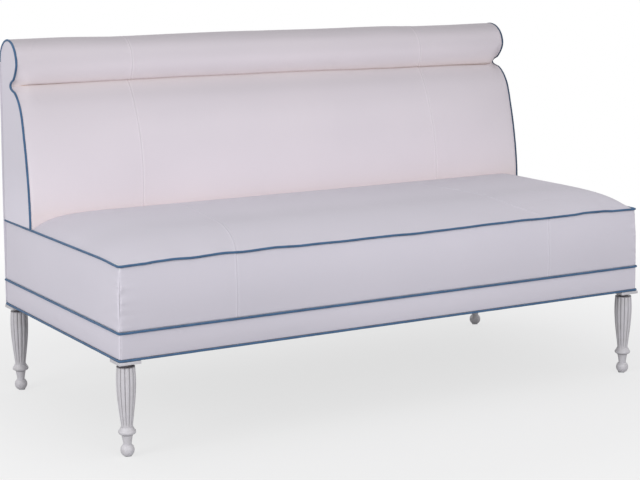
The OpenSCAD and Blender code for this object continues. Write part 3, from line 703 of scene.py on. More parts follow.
def curve(a, b, c, d, steps):
    # points of a bent line, without its last one
    points = []
    for t in (j / steps for j in range(steps)):
        points.append(a * (1 - t) ** 3 + b * 3 * t * (1 - t) ** 2 + c * 3 * t * t * (1 - t) + d * t ** 3)
    return points


def fullness(x):
    # between its ends the back is filled up to the roll, which leaves only the tuck
    start = backShape["fullFrom"][x > 0]
    return 1 - (1 - shareOf(start, start + backShape["fullOver"], coverX - abs(x))) ** 3


def tuckAt(x):
    # the tuck under the roll closes a little before each end
    left, right = backShape["tuckEnds"]
    fade = backShape["tuckFade"]
    return smoothStep(0, fade, x - left) * smoothStep(0, fade, right - x)


def tuckOpening(x):
    # it gapes a little near the ends, and is nearly shut between them
    shut = backShape["tuckShut"]
    return backShape["tuckOpen"] * tuckAt(x) * (shut + (1 - shut) * smoothStep(0.55, 0.69, abs(x)))


def gatherColumns(bm):
    # the columns lie closer towards the ends
    for vert in bm.verts:
        u = vert.co.x / coverX
        vert.co.x = coverX * (u + backShape["endColumns"] * sin(pi * u) / pi)


# how the stuffing has settled: places along the back and how far it lies above the plain shape
settled = {
    "crease": [
        (-780, 7), (-300, 8), (-113, 6.5), (16, 6.5), (150, 5), (285, 2.2), (425, 0.8), (569, 0), (780, -2.5)
    ],
    "top": [
        (-780, 2), (-640, 3), (-460, -0.3), (-215, 1), (0, -0.5), (250, -2), (384, -1.6), (527, -5.4),
        (620, -6), (780, -4.3),
    ],
    "rightForward": 10 * mm,
    "leftBack": 2.4 * mm,
    "flare": 2 * mm,
    "depth": 120 * mm,
}


def settle(p):
    # the back leans a little forward at its right end and back at its left,
    # and the roll sags to the right
    right = shareOf(-coverX, coverX, p.x)
    low = 1 - smoothStep(body["seatEdge"], rollZ, p.z)
    front = smoothStep(0, settled["depth"], body["halfD"] - p.y)
    forward = settled["rightForward"] * right - settled["leftBack"] * (1 - right) * low
    lift = liftAt(settled["crease"], p.x) * fullness(p.x) * front
    if p.z > creaseZ:
        lift += (liftAt(settled["top"], p.x) - lift) * shareOf(creaseZ, body["backH"], p.z)
    else:
        lift *= smoothStep(faceTop.y, creaseZ, p.z)
    return Vector((p.x * (1 + settled["flare"] / coverX * low), p.y - forward * front, p.z + lift))


# seat

def seatHeight(x, y):
    # the stuffing is fuller at the right end
    across = 1 - min(abs(x) / coverX, 1) ** seatShape["powerX"][x > 0]
    power = seatShape["powerY"] + seatShape["powerRight"] * smoothStep(0.35, 0.78, x)
    along = 1 - (max(seatRear - y, 0) / (seatRear + coverY)) ** power
    return body["seatEdge"] + seatShape["crown"] * across * max(along, 0)


def makeSeatFoam(cover):
    # the foam block follows the cover, a little below it
    low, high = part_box("seat_foam")
    bm = opened(cover)
    for normal in ((1, 0, 0), (0, 1, 0)):
        for corner, way in ((low, -1), (high, 1)):
            cutAcross(bm, Vector(corner), Vector(normal) * way, clear_outer=True)
    bmesh.ops.translate(bm, verts=bm.verts[:], vec=(0, 0, -seatShape["foamBelow"]))
    rim = [e for e in bm.edges if e.is_boundary]
    grown = bmesh.ops.extrude_edge_only(bm, edges=rim)["geom"]
    for vert in vertsOf(grown):
        vert.co.z = low[2]
    bmesh.ops.contextual_create(bm, geom=[g for g in grown if isinstance(g, bmesh.types.BMEdge)])
    bmesh.ops.recalc_face_normals(bm, faces=bm.faces[:])
    finishSolid("seatFoam", bm, "foam", "seat_foam", 40)


def rearAt(x):
    # the seat's rear edge follows the back's foot
    right = (1 + x / coverX) / 2
    return seatRear + settled["leftBack"] * (1 - right) - settled["rightForward"] * right


def seatPaintedShading(vert):
    # painted shade: greyer in the middle, and greyer again towards the rear where the back shades the seat,
    # most of all at the right
    x, y = vert.co.x, vert.co.y
    middle = (0.045 + 0.02 * smoothStep(-0.6, -0.3, x)) * hump(y, -0.17, 0.08)
    front = 0.035 * smoothStep(0.3, -0.4, y) - 0.035
    return front - middle - smoothStep(-0.15, 0.17, y) * (0.05 + 0.065 * smoothStep(-0.3, 0.6, x))


def makeSeatTop():
    bm = bmesh.new()
    bmesh.ops.create_grid(bm, x_segments=seatShape["columns"], y_segments=seatShape["rows"], size=1)

    def crowned(p):
        # the columns lie closer towards the ends
        x = coverX * (0.35 * sin(pi / 2 * p.x) + 0.65 * p.x)
        y = -coverY + (seatRear + coverY) * (p.y + 1) / 2
        lift = smoothStep(0, 0.2, seatRear - y) * (1 - smoothStep(0, 0.16, y + coverY))
        y += (rearAt(x) - seatRear) * smoothStep(seatRear - 0.12, seatRear, y)
        return roundCorner(Vector((x, y, seatHeight(x, y) + liftAt(edgeWave, x) * lift)), coverX, coverY)

    mapVerts(bm, crowned)
    faceOutward(bm, (0, 0, 1))
    piece = toPiece("seatTop", bm, seatCloth)
    makeSeatFoam(piece.data)
    edge, corner, sewn = body["sewnEdge"], 6 * mm, []
    for vert in piece.data.vertices:
        p = vert.co
        beside, before = coverX - abs(p.x), coverY + p.y
        inCorner = beside < corner and before < corner
        if beside < edge or before < edge or p.y > rearAt(p.x) - edge or inCorner:
            sewn.append(vert.index)
    tightenCover(piece, sewn)
    bm = refined(piece)
    # the seams slant inward from the front edge, and curve out to the border's seams
    slant = seatShape["seamSlant"]
    for side in (-1, 1):
        sewSeam(bm, (side * seatShape["seamX"], seatRear, 0), (1, side * slant, 0))
    for vert in bm.verts:
        p = vert.co
        side = 1 if p.x > 0 else -1
        off = p.x - side * (seatShape["seamX"] + slant * (seatRear - p.y))
        bend = max(0, (seatShape["bendFrom"] - p.y) / (seatShape["bendFrom"] + coverY)) ** 2
        p.x += side * seatShape["bend"] * bend * hump(off, 0, seatShape["bendWidth"])
    for vert in bm.verts:
        p = vert.co
        beside, before = coverX - abs(p.x), coverY + p.y
        near = min(beside, before)
        pucker = exp(-near / (16 * mm)) * (1 - exp(-near / (3 * mm)))
        ripple = noiseAt((p.x if before < beside else p.y) / seatShape["rippleSize"], 3.1, 0) * pucker
        slow = cloudAt(p, 0.16, 2.3) * smoothStep(0, 0.04, near)
        p.z += (ripple + slow) * seatShape["ripple"]
    paint(bm, "paintedShading", seatPaintedShading)
    setUv(bm, lambda v: (v.co.x, v.co.y))
    writeTo(piece.data, bm)
    closeCover(piece, "seat_cover")


borderShape = {
    "swell": 3 * mm, "rows": 56, "columns": (196, 96), "cornerTuck": 0.35 * mm, "cornerWidth": 1.6 * mm,
    # where the sheets are cut finer beside a corner seam, in mm
    "cornerCuts": (1, 2.2, 3.6, 5.2, 7, 9, 11.5, 14, 17, 20.5, 24),
}
# places of the upright seams, left and right
seamPlaces = {"front": (-472 * mm, 479 * mm), "back": (-461 * mm, 485 * mm), "roll": (-453 * mm, 480 * mm)}


def borderOut(v, share, lean):
    # how far a border swells, and how far its upper edge is drawn in
    swell = borderShape["swell"] * sin(pi * v) * (1 - abs(share) ** 6)
    return swell, body["edgeIn"] * v * v * lean


def ripples(along, v):
    # small pulls of the cloth beside the welts, and long soft hollows between them
    edge = min(v, 1 - v)
    pull = noiseAt(along / (17 * mm), v * 1.2, 5.3) * exp(-edge * 9) * (1 - exp(-edge * 60))
    return pull + noiseAt(along / 0.19, v * 1.6, 1.4) * sin(pi * v) * 1.1


def puckers(near, z, seed):
    # the cloth is gathered beside a corner seam, and flat at the stitches
    fine = 0.22 - abs(noiseAt(z / (8 * mm), seed, near / (40 * mm)))
    broad = noiseAt(z / (17 * mm), seed + 3, 0)
    gathered = fine * 5.5 * exp(-near / (8 * mm)) + broad * 4.0 * exp(-near / (16 * mm))
    return gathered * (1 - hump(near, 0, 4 * mm)) * mm


def wrapCorner(x, y, z, side, near, draw):
    # round the corner, and a little in at its seam
    tuck = borderShape["cornerTuck"] * hump(near, 0, borderShape["cornerWidth"])
    q = roundCorner(Vector((x, y, z)), body["halfW"] - draw, body["halfD"] - draw)
    return q + Vector((-side * tuck, tuck, 0))


def makeFrontCloth(name, node, foot, head, lean, depth, paintedShading):
    halfW, halfD = body["halfW"], body["halfD"]
    columns, rows = borderShape["columns"][0], borderShape["rows"]
    bm = uprightSheet((-halfW, -halfD), (halfW, -halfD), foot, head, columns, rows)
    for side in (-1, 1):
        for inward in borderShape["cornerCuts"]:
            cutAcross(bm, (side * (halfW - inward * mm), 0, 0), (1, 0, 0))

    def shaped(p):
        v, share, near = (p.z - foot) / (head - foot), p.x / halfW, halfW - abs(p.x)
        swell, draw = borderOut(v, share, lean)
        y = -halfD - swell + draw - ripples(p.x, v) * depth + puckers(near, p.z, 8.1 * share) * lean
        z = p.z + liftAt(edgeWave, p.x) * v * lean
        return wrapCorner(p.x * (halfW - draw) / halfW, y, z, 1 if p.x > 0 else -1, near, draw)

    mapVerts(bm, shaped)
    for x in seamPlaces["front"] if lean else ():
        sewSeam(bm, (x, 0, 0), (1, 0, 0), 0.9 * mm)

    # painted light and shade: lighter beside the corner seams with a broken dark line of painted shade along
    # them, and the given tones all over, towards the foot and towards the left
    def frontPaintedShading(vert):
        near = halfW - abs(vert.co.x)
        gather = 0.7 + 1.4 * noiseAt(vert.co.z / (6 * mm), 2.9, 0)
        ridge = 0.035 * exp(-near / (7 * mm)) - 0.07 * gather * hump(near, 3.6 * mm, 1.4 * mm)
        low, left = smoothStep(head, foot, vert.co.z), smoothStep(0.2, -0.7, vert.co.x)
        return ridge + paintedShading[0] + paintedShading[1] * low + paintedShading[2] * left

    paint(bm, "paintedShading", frontPaintedShading)
    finishSheet(name, bm, node, (0, -1, 0), (0, 2))


def makeSideCloth(name, node, side, foot, head, lean, depth):
    halfW, halfD = body["halfW"], body["halfD"]
    rear = halfD - body["skin"]
    columns, rows = borderShape["columns"][1], borderShape["rows"]
    bm = uprightSheet((side * halfW, -halfD), (side * halfW, rear), foot, head, columns, rows)
    for inward in borderShape["cornerCuts"]:
        cutAcross(bm, (0, -halfD + inward * mm, 0), (0, 1, 0))

    def shaped(p):
        v, near, long = (p.z - foot) / (head - foot), p.y + halfD, rear + halfD
        swell, draw = borderOut(v, 2 * near / long - 1, lean)
        x = halfW + swell - draw + ripples(p.y, v) * depth - puckers(near, p.z, 4.7 * side) * lean
        y = -halfD + draw + near * (long - draw) / long
        z = p.z + liftAt(edgeWave, side * halfW) * v * (1 - smoothStep(0, 0.12, near)) * lean
        return wrapCorner(side * x, y, z, side, near, draw)

    mapVerts(bm, shaped)
    # painted light: lighter all over, most of all beside the front corner
    paint(bm, "paintedShading", lambda v: 0.02 + 0.04 * exp(-(v.co.y + halfD) / (9 * mm)))
    finishSheet(name, bm, node, (side, 0, 0), (1, 2))


def makeBorders():
    gap = body["seamGap"]
    border = (body["bandTop"] + gap, body["seatEdge"] - gap, 1, 1.0 * mm)
    band = (body["bandBottom"] + gap, body["bandTop"] - gap, 0, 0.35 * mm)
    # painted light and shade for each front sheet: lighter all over, darker towards its foot and darker
    # towards the left
    makeFrontCloth("frontBorder", "front_border", *border, (0.055, -0.075, -0.065))
    makeFrontCloth("frontBand", "front_band", *band, (0.025, -0.015, -0.10))
    for side, word in ((-1, "left"), (1, "right")):
        makeSideCloth(word + "Border", word + "_border", side, *border)
        makeSideCloth(word + "Band", word + "_band", side, *band)


makeSeatTop()
makeBorders()
print("seat, borders and bands made")


# back

def toPlan(p):
    # a profile point becomes (y, z)
    return (body["halfD"] - p.x, p.y)


def crookedSeams(bm, places, top, foot, sway):
    for x in places:
        sewSeam(bm, (x, 0, 0), (1, 0, 0))
    for vert in bm.verts:
        p = vert.co
        t = (p.z - foot) / (top - foot)
        for x in places:
            p.x += hump(p.x, x, 70 * mm) * sway * sin(t * 4.2 + x * 2)


def rollPaintedShading(x, z, upward):
    # painted light and shade: paler on its underside and front, and greyer on top where it faces up
    under = 0.14 * smoothStep(rollZ + 5 * mm, creaseZ, z) * (z > creaseZ + 3 * mm)
    front = (0.09 - 0.055 * (x / coverX) ** 2) * hump(z, rollZ - 12 * mm, 18 * mm)
    return under + front - 0.2 * smoothStep(0.4, 1.0, upward) * (z > rollZ)


def insidePaintedShading(x, z, upward):
    # painted light and shade: greyer under the crease where the roll shades it, painted light down towards
    # the seat, a little paler lower in the middle, and greyer at a patch low on the left
    middle = 1 - (x / coverX) ** 2
    shade = (0.045 + 0.03 * middle) * hump(z, creaseZ - 27 * mm, 22 * mm)
    pale = 0.035 * middle * hump(z, creaseZ - 118 * mm, 40 * mm)
    corner = 0.045 * hump(x, -0.5, 0.14) * hump(z, 0.58, 0.07)
    return 0.21 * smoothStep(creaseZ, swellStart, z) - shade + pale - corner


def finishBackPiece(piece, node, bm, seed, lip, inward, warm, paintedShadingAt):
    # inward is the way along the profile that leads past the lip into the tuck
    bm.normal_update()
    number, run = (layerOf(bm, name) for name in ("number", "run"))
    paintedWarmShade = layerOf(bm, "paintedWarmShade")
    for vert in bm.verts:
        p = vert.co
        near, past = coverX - abs(p.x), (vert[number] - lip) * inward
        pull = noiseAt(p.z / (15 * mm), p.y / (15 * mm), seed) * exp(-near / (14 * mm))
        calm = min(abs(past) / 7, 1)
        slow = cloudAt(p, 0.17, seed) * smoothStep(0, 0.05, near) * calm
        # painted warm shade in the tuck and painted warm bounce light near it, as the warm mask says
        vert[paintedWarmShade] = warm(p.z, past, tuckAt(p.x))
        if vert[paintedWarmShade] < 0.6:
            vert.co = p + vert.normal * (abs(pull) * 0.8 + slow * 0.8 + 0.64 - 0.16 * calm) * mm
    bm.normal_update()

    # painted shading: darker towards the ends, lighter at the right end beside the lip, and a little darker
    # all over
    def paintedShading(vert):
        x = vert.co.x
        side = 0.03 * smoothStep(0.5, 0.75, abs(x))
        gather = 0.2 * smoothStep(0.735, 0.752, x) * max(1 - abs(vert[number] - lip) / 6, 0)
        return paintedShadingAt(x, vert.co.z, vert.normal.z) + gather - side - 0.05

    paint(bm, "paintedShading", paintedShading)
    setUv(bm, lambda v: (v.co.x, v[run]))
    writeTo(piece.data, bm)
    closeCover(piece, node)


def fillMiddle(bm, ends, middle, openWay, slot):
    # each point moves from the ends' profile to the middle's fuller one
    number = layerOf(bm, "number")
    deepest = max(slot, key=slot.get)
    for vert in bm.verts:
        p, i = vert.co, round(vert[number])
        full = fullness(p.x)
        place = ends[i].lerp(middle[i], full)
        if i in slot:
            place.x -= backShape["tuckDepth"] * slot[i] * max(tuckAt(p.x), 0.02)
        mouth = ends[deepest].lerp(middle[deepest], full)
        nearMouth = 1 if i in slot else exp(-(place - mouth).length / (9 * mm))
        place.y += openWay * tuckOpening(p.x) * nearMouth
        y, z = toPlan(place)
        p.y, p.z = y - swellAt(p.x, place.y), z


def sweepBack(name, ends, middle, openWay, slot, outward, inward, loose):
    # the cover is sewn all round; loose says which points of its profile aren't held
    line = [p - Vector((0.1 * mm * slot.get(i, 0), 0)) for i, p in enumerate(ends)]
    bm = sweptSheet([toPlan(p) for p in line], -coverX, coverX, 180)
    gatherColumns(bm)
    fillMiddle(bm, ends, middle, openWay, slot)
    for vert in bm.verts:
        # it turns in a little where it meets the welt
        past = max(0, abs(vert.co.x) - coverX + backShape["rounding"]) / backShape["rounding"]
        vert.co += inward(vert.co) * backShape["drop"] * past * past
    mapVerts(bm, settle)
    faceOutward(bm, outward)
    number = layerOf(bm, "number")
    bm.verts.index_update()
    side = coverX - body["sewnEdge"]
    sewn = [v.index for v in bm.verts if abs(v.co.x) > side or not loose[0] <= v[number] <= loose[1]]
    piece = toPiece(name, bm, backPaintedLightCloth)
    tightenCover(piece, sewn)
    return piece, refined(piece)


def makeInsideBack():
    foot = body["seatEdge"] - body["seamGap"]
    mouth = Vector(backShape["mouth"])
    steps = backShape["faceSteps"]
    ends = faceLine(foot, steps) + [notchAt(1 - backShape["notchShown"] * j / 9) for j in range(1, 10)]
    count = len(ends)
    bend = (faceTop + Vector((-8.5 * mm, 37 * mm)), mouth + Vector((15 * mm, -3 * mm)))
    middle = ends[:steps] + curve(faceTop, *bend, mouth, count - steps - 1) + [mouth] * 5
    ends += [ends[-1]] * 4
    slot = {count + j: (j + 1) / 4 for j in range(4)}
    lip = count - 1
    piece, bm = sweepBack(
        "insideBack", ends, middle, -1, slot, (0, -1, 0), lambda p: Vector((0, 1, 0)), (1, lip - 6)
    )
    crookedSeams(bm, seamPlaces["back"], creaseZ, foot, 3 * mm)

    def warm(z, past, tuck):
        # painted warm shade in and beside the tuck, and a faint painted warm bounce light along the seat and
        # under the roll
        blush = 0.12 * exp(-max(z - swellStart, 0) / (40 * mm)) + 0.06 * exp((z - creaseZ) / (14 * mm))
        beside = 0.3 * smoothStep(-2.6, 0, past) * (0.3 + 0.7 * tuck)
        return max(smoothStep(-1.3, 1.0, past) * tuck, beside, min(blush, 0.13))

    finishBackPiece(piece, "inside_back_cover", bm, 3.7, lip, 1, warm, insidePaintedShading)


def makeRoll():
    mouth = Vector(backShape["mouth"])
    under = [notchAt(backShape["notchShown"] * j / 9) for j in range(9, -1, -1)]
    under += [rollUnder(turn) for turn in range(backShape["rollTurn"] - 5, 4, -5)]
    top = [rollRound(turn) for turn in range(0, 181, 6)]
    bend = (mouth + Vector((11 * mm, 1.5 * mm)), top[0] - Vector((0, 36 * mm)))
    ends = [under[0]] * 4 + under + top
    middle = [mouth] * 4 + curve(mouth, *bend, top[0], len(under)) + top
    slot = {j: (4 - j) / 4 for j in range(4)}

    def toPole(p):
        return (Vector((p.x, body["halfD"] - rollR, rollZ)) - p).normalized()

    piece, bm = sweepBack("backRoll", ends, middle, 1, slot, (0, 0, 1), toPole, (10, len(ends) - 2))
    crookedSeams(bm, seamPlaces["roll"], body["backH"], creaseZ, 0.8 * mm)

    # painted warm shade in the tuck, and painted warm bounce light just above the crease
    def warm(z, past, tuck):
        return max(smoothStep(-1.3, 1.0, past) * tuck, 0.2 * exp(-max(z - creaseZ, 0) / (15 * mm)))

    finishBackPiece(piece, "roll_cover", bm, 6.1, 4, -1, warm, rollPaintedShading)


makeInsideBack()
makeRoll()


def endLine(spacing):
    # from the roll's rear over the top, round the notch and down the face to the seat's edge
    line = [rollRound(turn) for turn in range(180, 0, -spacing)]
    line += [rollUnder(turn) for turn in range(0, backShape["rollTurn"], spacing)]
    line += [notchAt(j / 14) for j in range(15)]
    return line + faceLine(body["seatEdge"] + body["seamGap"], 60)[-2::-1]


def beside(line, distance):
    out = []
    for i, p in enumerate(line):
        d = (line[min(i + 1, len(line) - 1)] - line[max(i - 1, 0)]).normalized()
        out.append(p + Vector((-d.y, d.x)) * distance)
    return out


panelShape = {"rim": 2.2 * mm, "rise": 3.8 * mm, "steps": ((1.2, 0.55), (3, 0.3), (9, 0.15))}


def makeEndPanel(name, node, side):
    foot, skin = body["seatEdge"] + body["seamGap"], body["skin"]
    front = [p for p in beside(endLine(5), -skin) if p.y > foot]
    outline = [Vector((skin, foot))] + [Vector((max(p.x, skin), p.y)) for p in front]
    outline.append(Vector((faceDepth(foot) - skin, foot)))
    bm = bmesh.new()
    x = body["halfW"] - body["edgeIn"] - panelShape["rim"]
    bm.faces.new([bm.verts.new((side * x, *toPlan(p))) for p in outline])
    bmesh.ops.remove_doubles(bm, verts=bm.verts[:], dist=0.2 * mm)
    faces = bm.faces[:]
    # the cloth rises from the seam over the wadding in three steps
    for width, share in panelShape["steps"]:
        bmesh.ops.inset_region(bm, faces=faces, thickness=width * mm, use_even_offset=True)
        for vert in {v for f in faces for v in f.verts}:
            vert.co.x += side * panelShape["rise"] * share
    bmesh.ops.triangulate(bm, faces=faces, ngon_method="BEAUTY")
    for k in range(1, 16):
        cutAcross(bm, (0, 0, foot + 32 * mm * k), (0, 0, 1))
        cutAcross(bm, (0, body["halfD"] - 13 * mm * k, 0), (0, 1, 0))
    # painted light: lighter low down, towards the seat
    paint(bm, "paintedShading", lambda v: 0.03 + 0.10 * smoothStep(0.66, 0.49, v.co.z))
    mapVerts(bm, settle)
    finishSheet(name, bm, node, (side, 0, 0), (1, 2))


def makeStuffing(name, node, slot):
    # the solid's own form, a little below the cover that has settled on it
    bm = opened(frame["nodes"][node].data)
    bmesh.ops.remove_doubles(bm, verts=bm.verts[:], dist=0.01 * mm)
    for k in range(-7, 8):
        cutAcross(bm, (k * 0.1, 0, 0), (1, 0, 0))
    mapVerts(bm, settle)
    bmesh.ops.recalc_face_normals(bm, faces=bm.faces[:])
    for vert in bm.verts:
        vert.co -= vert.normal * 1.2 * mm
    finishSolid(name, bm, slot, node, 40)


def makeOutsideBack():
    low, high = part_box("outside_back_cover")
    bm = uprightSheet((high[0], high[1]), (low[0], high[1]), low[2], high[2], 160, 60)

    def taut(p):
        edge = min(high[0] - abs(p.x), p.z - low[2], high[2] - p.z)
        wave = noiseAt(p.x / 0.21, p.z / 0.3, 7.7) * 0.8 * smoothStep(0, 0.06, edge)
        pull = noiseAt(p.x / (18 * mm), p.z / (18 * mm), 2.2) * exp(-edge / (12 * mm)) * 0.5
        return settle(Vector((p.x, p.y + (wave + pull) * mm, p.z)))

    mapVerts(bm, taut)
    for x in seamPlaces["back"]:
        sewSeam(bm, (x, 0, 0), (1, 0, 0), 0.8 * mm)
    finishSheet("outsideBack", bm, "outside_back_cover", (0, 1, 0), (0, 2))


for side, word in ((-1, "left"), (1, "right")):
    makeEndPanel(word + "EndPanel", word + "_end_panel", side)
    makeStuffing(word + "EndPad", word + "_end_pad", "wadding")
makeStuffing("rollFoam", "roll_foam", "foam")
makeStuffing("backFoam", "back_foam", "foam")
makeOutsideBack()
print("back made")


# welts

weltShape = {
    # soil is the share of painted shade the right welt gets all along, where it lies in shade
    "sides": 12, "wobble": 0.25 * mm, "step": 6 * mm, "sunk": 0.8 * mm, "knot": 5 * mm, "soilAndPaintedShade": 0.65,
}


def evenPath(points, closed):
    # points at even steps along a run of corner points, finer where it bends
    path = []
    for a, b in zip(points, points[1:] + points[:1] * closed):
        parts = max(1, round((b - a).length / weltShape["step"]))
        path += [a.lerp(b, k / parts) for k in range(parts)]
    return path if closed else path + [points[-1]]


def sweepWelt(name, node, path, upright, closed=False, soilAndPaintedShade=0.0, knot=None):
    # a ring is drawn along the path, ring by ring, and thickens at a knot
    bm = bmesh.new()
    run, turn = (layerOf(bm, title) for title in ("run", "turn"))
    count, length = len(path), 0.0

    def pinch(place):
        return hump((place - knot).length, 0, weltShape["knot"]) if knot else 0.0

    def layRing(i):
        before = path[i - 1] if closed or i > 0 else path[0]
        after = path[(i + 1) % count] if closed or i < count - 1 else path[-1]
        ahead = (after - before).normalized()
        across = ahead.cross(upright).normalized()
        over = across.cross(ahead)
        uneven = 0.05 * noise.noise(path[i] * 90 + Vector((4, 1, 2))) + 0.4 * pinch(path[i])
        size = body["weltR"] * (1 + uneven)
        centre = path[i] + (across * 0.5 + over) * noise.noise(path[i] * 60) * weltShape["wobble"]
        for vert, angle in zip(ring, angles):
            vert.co = centre + across * size * cos(angle) + over * size * sin(angle)
            vert[run], vert[turn] = length, angle * body["weltR"]

    ring = bmesh.ops.create_circle(bm, segments=weltShape["sides"], radius=1)["verts"]
    ring = sorted(ring, key=lambda v: atan2(v.co.y, v.co.x))
    angles = [atan2(v.co.y, v.co.x) for v in ring]
    opening = ring
    layRing(0)
    for i in range(1, count):
        length += (path[i] - path[i - 1]).length
        edges = [e for e in {e for v in ring for e in v.link_edges} if all(w in ring for w in e.verts)]
        partner = {}
        for vert in vertsOf(bmesh.ops.extrude_edge_only(bm, edges=edges)["geom"]):
            for edge in vert.link_edges:
                partner[edge.other_vert(vert)] = vert
        ring = [partner[v] for v in ring]
        layRing(i)
    if closed:
        bmesh.ops.bridge_loops(bm, edges=[e for e in bm.edges if e.is_boundary])
    else:
        bmesh.ops.contextual_create(bm, geom=opening)
        bmesh.ops.contextual_create(bm, geom=ring)
    bmesh.ops.recalc_face_normals(bm, faces=bm.faces[:])
    # painted shade: darker by the given share all along, and darkest at the knot
    paint(bm, "soilAndPaintedShade", lambda v: soilAndPaintedShade + (1 - soilAndPaintedShade) * pinch(v.co))
    setUv(bm, lambda v: (v[run], v[turn]))
    placePiece(toPiece(name, bm, finishes["welt_fabric"]), node)


def levelPath(x, y, rear, z, closed=False):
    # round the front corners in an arc; closed goes round the rear corners too
    r = body["cornerR"] + body["weltOut"]
    arcs = [(-x + r, -y + r, 180), (x - r, -y + r, 270)]
    if closed:
        arcs += [(x - r, rear - r, 0), (-x + r, rear - r, 90)]
    corners = []
    for cx, cy, start in arcs:
        for a in (radians(start + 15 * k) for k in range(7)):
            corners.append(Vector((cx + r * cos(a), cy + r * sin(a), z)))
    if not closed:
        corners = [Vector((-x, rear, z))] + corners + [Vector((x, rear, z))]
    return evenPath(corners, closed)


def makeWelts():
    out, up, along = body["weltOut"], Vector((0, 0, 1)), Vector((1, 0, 0))
    edgeX, edgeY = body["halfW"] - body["edgeIn"] + out, body["halfD"] - body["edgeIn"] + out
    wideX, wideY = body["halfW"] + out, body["halfD"] + out
    rear = body["halfD"] - body["skin"]
    seat = levelPath(edgeX, edgeY, rear, body["seatEdge"])
    for p in seat:
        p.z += liftAt(edgeWave, p.x) * (1 - smoothStep(0, 0.12, p.y + edgeY))
    sweepWelt("seatWelt", "seat_welt", seat, up)
    sweepWelt("bandTopWelt", "band_top_welt", levelPath(wideX, wideY, rear, body["bandTop"]), up)
    bottom = levelPath(wideX, wideY, wideY, body["bandBottom"], True)
    sweepWelt("bandBottomWelt", "band_bottom_welt", bottom, up, True)
    foot = body["seatEdge"] + body["seamGap"] - 0.5 * mm
    line = [p for p in beside(endLine(4), -out) if p.y > foot] + [Vector((faceDepth(foot) - out, foot))]
    left, right = (
        [settle(Vector((x, *toPlan(p)))) for p in line]
        for x in (weltShape["sunk"] - edgeX, edgeX - weltShape["sunk"])
    )
    knot = max((p for p in right if p.z < rollZ), key=lambda p: p.y)
    sweepWelt("leftBackWelt", "left_back_welt", left, along)
    sweepWelt("rightBackWelt", "right_back_welt", right, along, soilAndPaintedShade=weltShape["soilAndPaintedShade"], knot=knot)


makeWelts()
print("welts made")


# legs

legShape = {
    "block": 57 * mm, "blockH": 7.5 * mm, "blockOut": 3.5 * mm, "recessH": 8.2 * mm, "recessR": 12 * mm,
    "bulbR": 24 * mm, "bulbTopR": 22.2 * mm, "bulbFootR": 14 * mm, "wide": 0.76, "waist": 1.12,
    "ringR": 21.5 * mm, "ringH": 17.5 * mm, "ringRound": 5 * mm, "ringRise": 5.6 * mm, "ringMid": 6 * mm,
    "neckTopR": 14 * mm, "neckFootR": 10 * mm, "neckH": 25 * mm,
    "ballR": 17 * mm, "ballCut": 4 * mm, "glideH": 3 * mm,
    "reeds": 12, "reedDepth": 2.9 * mm, "perReed": 10, "dome": 3.2 * mm,
}


def bulbRadius(t):
    wide, widest, foot = (legShape[k] for k in ("wide", "bulbR", "bulbFootR"))
    if t < wide:
        return foot + (widest - foot) * sin(pi / 2 * (t / wide) ** legShape["waist"])
    return widest - (widest - legShape["bulbTopR"]) * ((t - wide) / (1 - wide)) ** 2


def blend(a, b, steps, power):
    # (radius, height) places between two; a power bends the radius
    places = []
    for t in (k / steps for k in range(1, steps + 1)):
        places.append((a[0] + (b[0] - a[0]) * t ** power, a[1] + (b[1] - a[1]) * t))
    return places


def arcRound(centre, reach, rise, low, high, steps):
    angles = [low + (high - low) * k / steps for k in range(steps + 1)]
    return [(centre[0] + reach * cos(a), centre[1] + rise * sin(a)) for a in angles]


